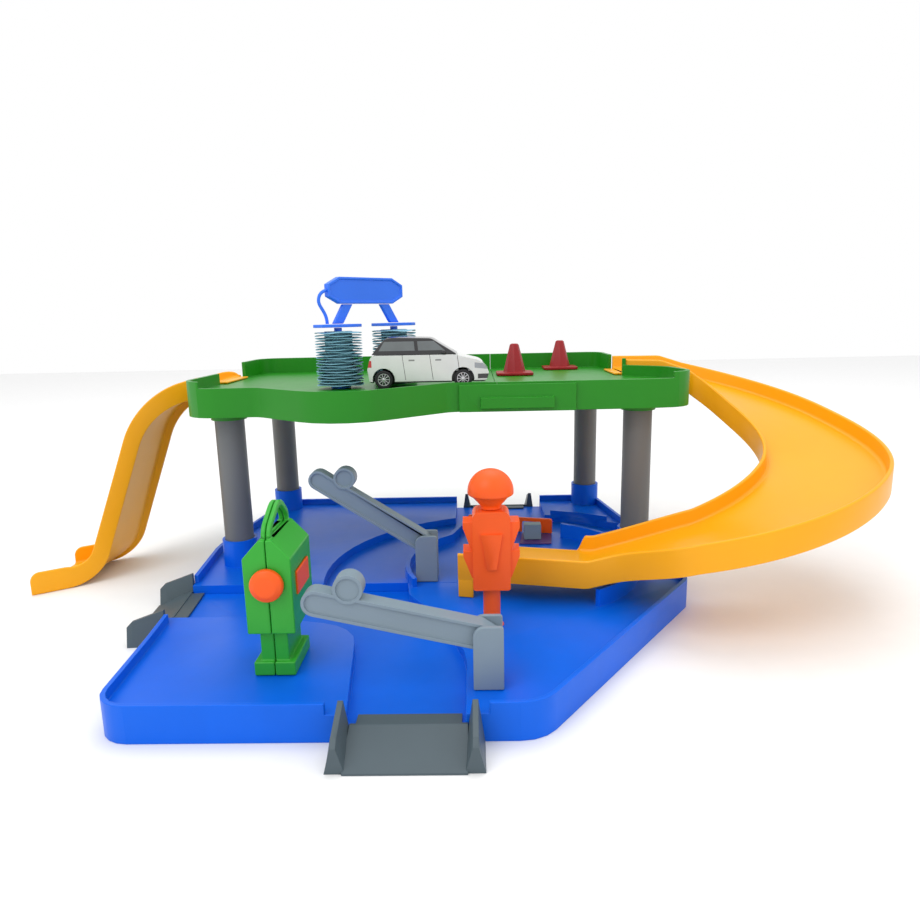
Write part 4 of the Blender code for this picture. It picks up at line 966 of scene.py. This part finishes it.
@dataclass
class SpiralRamp(Channel):
    """The spiral ramp: straight off the deck, half a turn down, then straight into the court."""

    centre: tuple[float, float] = (160, 1)
    radius: float = 75.7
    heading_deg: float = -13
    width: float = 49.5
    wall_height: float = 16.3
    floor_drop: float = 10
    end_x: float = 13
    level_start: float = 30
    level_end: float = 75
    end_bottom: float = 23.7
    open_length: float = 66
    open_fade: tuple[float, float] = (-5, 1)
    open_wall: float = 0.06
    deck_x: float = 130.3
    tongue_y: tuple[float, float] = (64.8, 107.2)
    foot_length: float = 9
    plateau: float = 13
    outer_flare: tuple[float, float] = (4, 12.5)
    inner_flare: tuple[float, float] = (13, 4)
    outer_late: tuple[float, float] = (0.33, 0.64)
    inner_early: tuple[float, float] = (0.18, 0.68)
    flare_grown: float = 0.05
    flare_fade: tuple[float, float] = (1.0, 1.2)
    samples: int = 150

    def flare(self, turn: float, deck_turn: float) -> tuple[float, float]:
        """How much wider the channel is on its two sides.

        Args:
            turn: share of the half turn, below 0 before it and above 1 after it.
            deck_turn: that share at the deck.

        Returns:
            The outer and the inner extra width.
        """
        grown = ease(turn, deck_turn, self.flare_grown) * (1 - ease(turn, *self.flare_fade))
        outer = self.outer_flare[0] + self.outer_flare[1] * ease(turn, *self.outer_late)
        inner = self.inner_flare[0] * (1 - ease(turn, *self.inner_early)) + self.inner_flare[1]
        return outer * grown, inner * grown

    def build(self, bench: Bench) -> None:
        """Carries the section along the middle line: line, arc of half a turn, line.

        Args:
            bench: where the piece goes.
        """
        heading = math.radians(self.heading_deg)
        along = np.array((math.cos(heading), math.sin(heading)))
        across = np.array((-along[1], along[0]))
        centre = np.array(self.centre, float)
        first, second = centre + across * self.radius, centre - across * self.radius
        lead = (first[0] - self.deck_x) / along[0]
        tail = (second[0] - self.end_x) / along[0]
        curve = math.pi * self.radius
        total = lead + curve + tail
        opening = total - self.open_length
        places = np.concatenate((np.linspace(0, total, self.samples), opening + np.linspace(-6, 2, 13)))
        places = np.unique(np.round(places, 3))
        start_rim = self.deck_floor + self.gap + self.tongue_thick + self.floor_drop
        end_rim = self.end_bottom + self.wall_height
        rings = []
        for place in places:
            share = (place - self.level_start) / (total - self.level_start - self.level_end)
            rim = start_rim + (end_rim - start_rim) * min(max(share, 0), 1)
            floor = rim - self.floor_drop
            if place <= lead:
                side, middle = across, first - along * (lead - place)
            elif place < lead + curve:
                cos, sin = math.cos((place - lead) / self.radius), math.sin((place - lead) / self.radius)
                side = np.array((across[0] * cos + across[1] * sin, across[1] * cos - across[0] * sin))
                middle = centre + side * self.radius
            else:
                side, middle = -across, second - along * (place - lead - curve)
            closing = ease(place, opening + self.open_fade[0], opening + self.open_fade[1])
            inner_rim = rim + (floor + self.open_wall - rim) * closing
            flat = self.section(self.width / 2, rim, rim - self.wall_height, floor, inner_rim) * (-1, 1)
            outer, inner = self.flare((place - lead) / curve, -lead / curve)
            flat[:, 0] += np.where(flat[:, 0] > 0, outer, -inner)
            plan = middle + flat[:, :1] * side
            if place == 0:
                plan += along * ((self.deck_x - plan[:, :1]) / along[0])
            rings.append(np.column_stack((plan, flat[:, 1])))
        tongue = self.deck_tongue((self.deck_x - self.gap - self.tongue, self.deck_x + 1.5), self.tongue_y)
        end = second - along * tail
        stand = Matrix.Translation(Vector((*end, 0)) * MM) @ Matrix.Rotation(heading, 4, "Z")
        feet = []
        for side in (-1, 1):
            walls = sorted((side * self.width / 2, side * (self.width / 2 - self.wall)))
            foot = block((0, self.foot_length), walls, (self.plateau + self.gap, self.end_bottom + 1), 0.5)
            foot.transform(stand)
            feet.append(foot)
        mesh = joined(grid(np.array(rings)), tongue, *feet)
        bench.add("spiral_channel", mesh, Look.yellow_plastic, "garage", ["spiral_ramp"])


@dataclass
class Pillars:
    """Four round posts with softly rounded ends."""

    radius: float = 9.5
    edge: float = 0.8
    places: tuple[str, ...] = ("front_left", "front_right", "back_left", "back_right")

    def build(self, bench: Bench) -> None:
        """Turns each post between its socket and its collar.

        Args:
            bench: where the pieces go.
        """
        for place in self.places:
            low, high = (np.array(corner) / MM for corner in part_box(f"pillar_{place}"))
            centre = (low + high) / 2
            ends = [(self.radius, low[2], self.edge), (self.radius, high[2], self.edge)]
            profile = rounded([(0, low[2], 0), *ends, (0, high[2], 0)], 4, closed=False)
            profile[0, 0] = profile[-1, 0] = POLE
            mesh = turned(profile, (centre[0], centre[1], 0), 64)
            bench.add(f"post_{place}", mesh, Look.pillar_grey, "garage", [f"pillar_{place}"])


@dataclass
class Brush:
    """A wash brush: wavy, drooping discs on a hollow core."""

    side: str
    centre: tuple[float, float]
    phase: float = 0.0
    radius: float = 15.4
    core: float = 9.0
    bore: float = 2.9
    low: float = 133.2
    height: float = 35.3
    discs: int = 20
    thick: float = 0.62
    droop: float = 0.35
    turn: float = 2.399

    def disc(self, index: int) -> bpy.types.Mesh:
        """One disc: z = level + (0.32 sin(5 u + o) + 0.2 sin(3 u - 1.7 o) - droop) t t.

        Here t runs from 0 at the core to 1 at the rim, and o is the disc's own turn. The rim's radius
        is scaled by 1 + 0.012 sin(4 u + 2.1 o).

        Args:
            index: the disc's number, from below.

        Returns:
            The disc.
        """
        level = self.low + self.height / self.discs * (index + 0.62)
        angle = np.linspace(0, 2 * math.pi, 72, endpoint=False)
        share = np.array((0.0, 0.35, 0.7, 0.92, 1.0, 0.92, 0.7, 0.35, 0.0))
        lift = np.array((1.0, 1.0, 0.95, 0.75, 0.0, -0.75, -0.95, -1.0, -1.0)) * self.thick / 2
        offset = self.turn * index + self.phase
        wave = 0.32 * np.sin(5 * angle + offset) + 0.2 * np.sin(3 * angle - 1.7 * offset)
        reach = 1 + 0.012 * np.sin(4 * angle + 2.1 * offset)
        root = self.core - 0.6
        radius = np.minimum(root + (self.radius - root) * share[:, None] * reach, self.radius)
        z = level + lift[:, None] + (wave[None] - self.droop) * share[:, None] ** 2
        x, y = radius * np.cos(angle), radius * np.sin(angle)
        rings = np.stack((x + self.centre[0], y + self.centre[1], np.clip(z, self.low, None)), -1)
        return grid(rings, wrap=True, sharp=80)

    def build(self, bench: Bench) -> None:
        """Stacks the discs on their core.

        Args:
            bench: where the piece goes.
        """
        top = self.low + self.height
        corners = [(self.bore, self.low), (self.core, self.low), (self.core, top), (self.bore, top)]
        core = turned(np.array(corners), (*self.centre, 0), ring=True)
        mesh = joined(core, *[self.disc(index) for index in range(self.discs)])
        body, node = f"brush_{self.side}", f"wash_brush_{self.side}"
        bench.add(f"brush_discs_{self.side}", mesh, Look.brush_blue, body, [node])


@dataclass
class Shells:
    """The flat-sided mouldings: their own solids with rounded edges, given as look, edge and nodes."""

    rows: tuple[tuple[Look, float, str], ...] = (
        (Look.blue_plastic, 1.0, "base_front base_back"),
        (Look.green_plastic, 0.9, "deck_left deck_right"),
        (Look.green_plastic, 0.5, "front_panel"),
        (Look.pump_green, 0.7, "pump_shell_left pump_shell_right"),
        (Look.dark_grey, 0.7, "ramp_front ramp_left ramp_back"),
        (Look.gate_grey, 0.5, "gate_front_post gate_back_post"),
        (Look.gate_grey, 0.3, "gate_front_arm gate_back_arm gate_front_pin gate_back_pin"),
        (Look.gate_grey, 0.5, "window_block"),
        (Look.orange_plastic, 0.4, "signal_post"),
        (Look.orange_plastic, 0.5, "signal_body arch_gate"),
        (Look.orange_plastic, 0.3, "pump_screen"),
        (Look.wash_blue, 0.4, "wash_plate_left wash_plate_right"),
        (Look.wash_blue, 0.5, "wash_leg_left wash_leg_right"),
        (Look.wash_blue, 0.4, "wash_sign"),
        (Look.wash_blue, 0.3, "wash_spindle_left wash_spindle_right"),
        (Look.wash_blue, 0.02, "wash_hose"),
        (Look.label_purple, 0.2, "court_pad"),
        (Look.cone_red, 0.5, "cone_near cone_far"),
        (Look.trim_black, 0.3, "car_chassis"),
        (Look.axle_steel, 0.2, "car_axle_front car_axle_rear"),
    )

    def build(self, bench: Bench) -> None:
        """Softens each moulding's edges.

        Args:
            bench: where the pieces go.
        """
        for look, edge, nodes in self.rows:
            for node in nodes.split():
                bench.soften(node, look, edge)


@dataclass
class SignalCap:
    """The traffic light's domed cap over its bowl and neck."""

    radius: float = 12.0
    neck: float = 5.3
    brow: float = 9.2
    rim: float = 7.8
    bowl: tuple[float, float] = (2.6, 6.2)
    neck_top: float = 1.6

    def build(self, bench: Bench) -> None:
        """Turns the cap: half an ellipse over a tapering bowl.

        Args:
            bench: where the piece goes.
        """
        low, high = (np.array(corner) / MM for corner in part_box("signal_cap"))
        foot, centre = low[2], (low + high) / 2
        angle = np.linspace(math.pi / 2, 0, 18)
        rise = high[2] - foot - self.brow
        dome = np.stack((self.radius * np.cos(angle), foot + self.brow + rise * np.sin(angle)), 1)
        dome[0, 0] = POLE
        corners = [
            (self.radius, foot + self.brow, 0),
            (self.radius, foot + self.rim, 0.9),
            (self.radius - self.bowl[0], foot + self.bowl[1], 2.5),
            (self.neck, foot + self.neck_top, 3.0),
            (self.neck, foot, 0.3),
            (POLE, foot, 0),
        ]
        rest = rounded(corners, 5, closed=False)
        mesh = turned(np.concatenate((dome, rest[1:])), (centre[0], centre[1], 0), 56)
        bench.add("signal_dome", mesh, Look.orange_plastic, "signal_head", ["signal_cap"])


@dataclass
class PumpKnob:
    """The pump's domed knob on its stem."""

    radius: float = 7.7
    stem: float = 2.2
    stem_length: float = 3.5
    crown: tuple[float, float] = (0.62, 0.25)
    shoulder: float = 1.7

    def build(self, bench: Bench) -> None:
        """Turns the knob about the axis that points to the front.

        Args:
            bench: where the piece goes.
        """
        low, high = (np.array(corner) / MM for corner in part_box("pump_knob"))
        centre = (low + high) / 2
        deep = high[1] - low[1]
        corners = [
            (POLE, deep, 0),
            (self.radius * self.crown[0], deep - self.crown[1], 3.0),
            (self.radius, deep - self.shoulder, 1.6),
            (self.radius, self.stem_length, 0.5),
            (self.stem, self.stem_length, 0.2),
            (self.stem, 0, 0.3),
            (POLE, 0, 0),
        ]
        mesh = turned(rounded(corners, 5, closed=False), (centre[0], high[1], centre[2]), 48, "Y")
        bench.add("pump_dial", mesh, Look.orange_plastic, "knob", ["pump_knob"])


@dataclass
class Wheel:
    """A car wheel: tyre with a rounded shoulder and a spoked rim set into it."""

    radius: float = 5.9
    width: float = 5.4
    rim: float = 4.1
    dish: float = 1.4
    face: float = 1.15
    shoulder: float = 1.2
    spokes: int = 10
    spoke_half: float = 0.28
    spoke_start: float = 0.7
    spoke_front: float = 0.45
    hub: float = 1.1
    ring: tuple[float, float] = (3.45, 4.0)
    back: float = -0.3

    def tyre(self) -> bpy.types.Mesh:
        """The tyre with its dished middle.

        Returns:
            The mesh, which faces the front.
        """
        half = self.width / 2
        corners = [
            (self.rim, -half, 0.3),
            (self.radius, -half, self.shoulder),
            (self.radius, half, self.shoulder),
            (self.rim, half, 0.3),
            (self.rim, half - self.dish, 0),
            (POLE, half - self.dish, 0),
        ]
        flat = np.concatenate((np.array([[POLE, -half]]), rounded(corners, 4, closed=False)))
        return turned(flat, (0, 0, 0), 40, "Y")

    def spoked(self, outward: int) -> bpy.types.Mesh:
        """The rim's ring, hub and spokes.

        Args:
            outward: as for build.

        Returns:
            The mesh, round the wheel's middle.
        """
        face = Matrix.Rotation(-outward * math.pi / 2, 4, "X")
        bars = []
        for spoke in range(self.spokes):
            side = (-self.spoke_half, self.spoke_half)
            bar = block((self.spoke_start, self.rim - 0.15), side, (self.back, self.spoke_front), 0.12)
            bar.transform(face @ Matrix.Rotation(2 * math.pi * spoke / self.spokes, 4, "Z"))
            bars.append(bar)
        inner, outer = self.ring
        section = [(inner, self.back, 0.1), (outer, self.back, 0.1), (outer, 0.6, 0.2), (inner, 0.6, 0.2)]
        ring = turned(rounded(section, 2), (0, 0, 0), ring=True)
        section = [(POLE, self.back, 0), (self.hub, self.back, 0), (self.hub, 0.7, 0.3), (POLE, 0.7, 0)]
        hub = turned(rounded(section, 3, False), (0, 0, 0), 20)
        for mesh in (ring, hub):
            mesh.transform(face)
        return joined(ring, hub, *bars)

    def build(self, bench: Bench, node: str, outward: int) -> None:
        """Makes the tyre and the spoked rim.

        Args:
            bench: where the pieces go.
            node: the wheel's node.
            outward: -1 where the wheel's face points to the front, 1 where it points back.
        """
        low, high = (np.array(corner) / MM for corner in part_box(node))
        centre = (low + high) / 2
        tyre = self.tyre()
        if outward > 0:
            tyre.transform(Matrix.Rotation(math.pi, 4, "Z"))
        tyre.transform(Matrix.Translation(Vector(centre) * MM))
        body = bench.body_of(node)
        bench.add(f"{node}_tyre", tyre, Look.tyre_black, body, [node])
        face = centre[1] + outward * (self.width / 2 - self.face)
        spoked = self.spoked(outward)
        spoked.transform(Matrix.Translation(Vector((centre[0], face, centre[2])) * MM))
        bench.add(f"{node}_rim", spoked, Look.axle_steel, body)


@dataclass
class Car:
    """A plain small hatchback: shaped shell and glasshouse, mirrors and wheels."""

    span_x: tuple[float, float] = (-49.4, 29.0)
    span_y: tuple[float, float] = (-10.2, 21.3)
    belt: float = 153.6
    roof: float = 164.8
    slice: float = 2.0
    taper: float = 0.16
    tumblehome: float = 0.2
    crown: float = 0.9
    crown_blend: float = 6.0
    edge: float = 1.2
    corner_deg: float = 38.0
    mirror_x: tuple[float, float] = (-1.6, 1.4)
    mirror_z: tuple[float, float] = (153.2, 155.6)
    mirror_inset: float = 0.6
    mirror_half: float = 1.5
    wheel_nodes: tuple[str, ...] = ("rear", "front")

    def shaped(self, spots: np.ndarray) -> np.ndarray:
        """Shapes points by formulas.

        With t the distance from the car's middle over half its length, the half width is scaled by
        1 - taper t^4, and above the belt by 1 - tumblehome u, u running from belt to roof. The upper
        faces fall by crown v^2, v running across the half width.

        Args:
            spots: points in millimetres, shape (n, 3).

        Returns:
            The moved points.
        """
        middle, half = sum(self.span_y) / 2, (self.span_y[1] - self.span_y[0]) / 2
        centre, reach = sum(self.span_x) / 2, (self.span_x[1] - self.span_x[0]) / 2
        x, y, z = spots.T
        along = np.clip(np.abs(x - centre) / reach, 0, 1)
        lift = np.clip((z - self.belt) / (self.roof - self.belt), 0, 1)
        across = np.clip((y - middle) / half, -1, 1)
        near = np.clip((z - self.belt + self.crown_blend) / self.crown_blend, 0, 1)
        fall = self.crown * (near * (1 - lift) + lift) * across**2
        width = (y - middle) * (1 - self.taper * along**4) * (1 - self.tumblehome * lift)
        return np.stack((x, middle + width, z - fall), 1)

    def sculpted(self, node: str, bench: Bench) -> bpy.types.Mesh:
        """A node's solid, cut into thin slices along each axis and then shaped.

        Args:
            node: the CAD node.
            bench: gives the frame.

        Returns:
            The shaped mesh, whose rest_place attribute holds its points in millimetres.
        """
        shape = merged(bench.frame["nodes"][node])
        low, high = (np.array(corner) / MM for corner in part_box(node))
        for axis in range(3):
            normal = np.eye(3)[axis]
            for place in np.arange(low[axis] + self.slice * 0.7, high[axis] - 0.5, self.slice):
                every = shape.verts[:] + shape.edges[:] + shape.faces[:]
                spot = normal * place * MM
                bmesh.ops.bisect_plane(shape, geom=every, dist=1e-6, plane_co=spot, plane_no=normal)
        mesh = bpy.data.meshes.new(node)
        shape.to_mesh(mesh)
        shape.free()
        spots = np.empty(len(mesh.vertices) * 3)
        mesh.vertices.foreach_get("co", spots)
        spots = self.shaped(spots.reshape(-1, 3) / MM)
        mesh.vertices.foreach_set("co", (spots * MM).ravel())
        mesh.attributes.new(REST_PLACE, "FLOAT_VECTOR", "POINT").data.foreach_set("vector", spots.ravel())
        mesh.update()
        mesh.shade_smooth()
        return mesh

    def build(self, bench: Bench) -> None:
        """Dresses the car's shell, glasshouse, mirrors and wheels.

        Args:
            bench: where the pieces go.
        """
        for node, look in (("car_body", Look.car_white), ("car_cabin", Look.car_black)):
            piece = bench.add(f"{node}_shell", self.sculpted(node, bench), look, "car", [node])
            bench.bevelled(piece, self.edge, 4, self.corner_deg)
        near, far = self.span_y[0] + self.mirror_inset, self.span_y[1] - self.mirror_inset
        for y, side in ((near, "near"), (far, "far")):
            mirror = block(self.mirror_x, (y - self.mirror_half, y + self.mirror_half), self.mirror_z, 0.8)
            bench.add(f"car_mirror_{side}", mirror, Look.trim_black, "car")
        for name in self.wheel_nodes:
            for side, outward in (("near", -1), ("far", 1)):
                Wheel().build(bench, f"car_wheel_{name}_{side}", outward)


def main() -> None:
    """Builds the garage's pieces in order around the frame."""
    logging.basicConfig(level=logging.INFO, format="%(message)s")
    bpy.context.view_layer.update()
    bench = Bench(frame)
    Room().build()
    for part in (Shells(), Pillars(), Slide(), SpiralRamp(), SignalCap(), PumpKnob()):
        part.build(bench)
    for side, phase in (("left", 0.0), ("right", 1.3)):
        centre = np.array(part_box(f"wash_brush_{side}")).mean(0) / MM
        Brush(side, tuple(centre[:2]), phase).build(bench)
    Car().build(bench)
    LOG.info("%d pieces", bench.made)


if __name__ == "__main__":
    main()
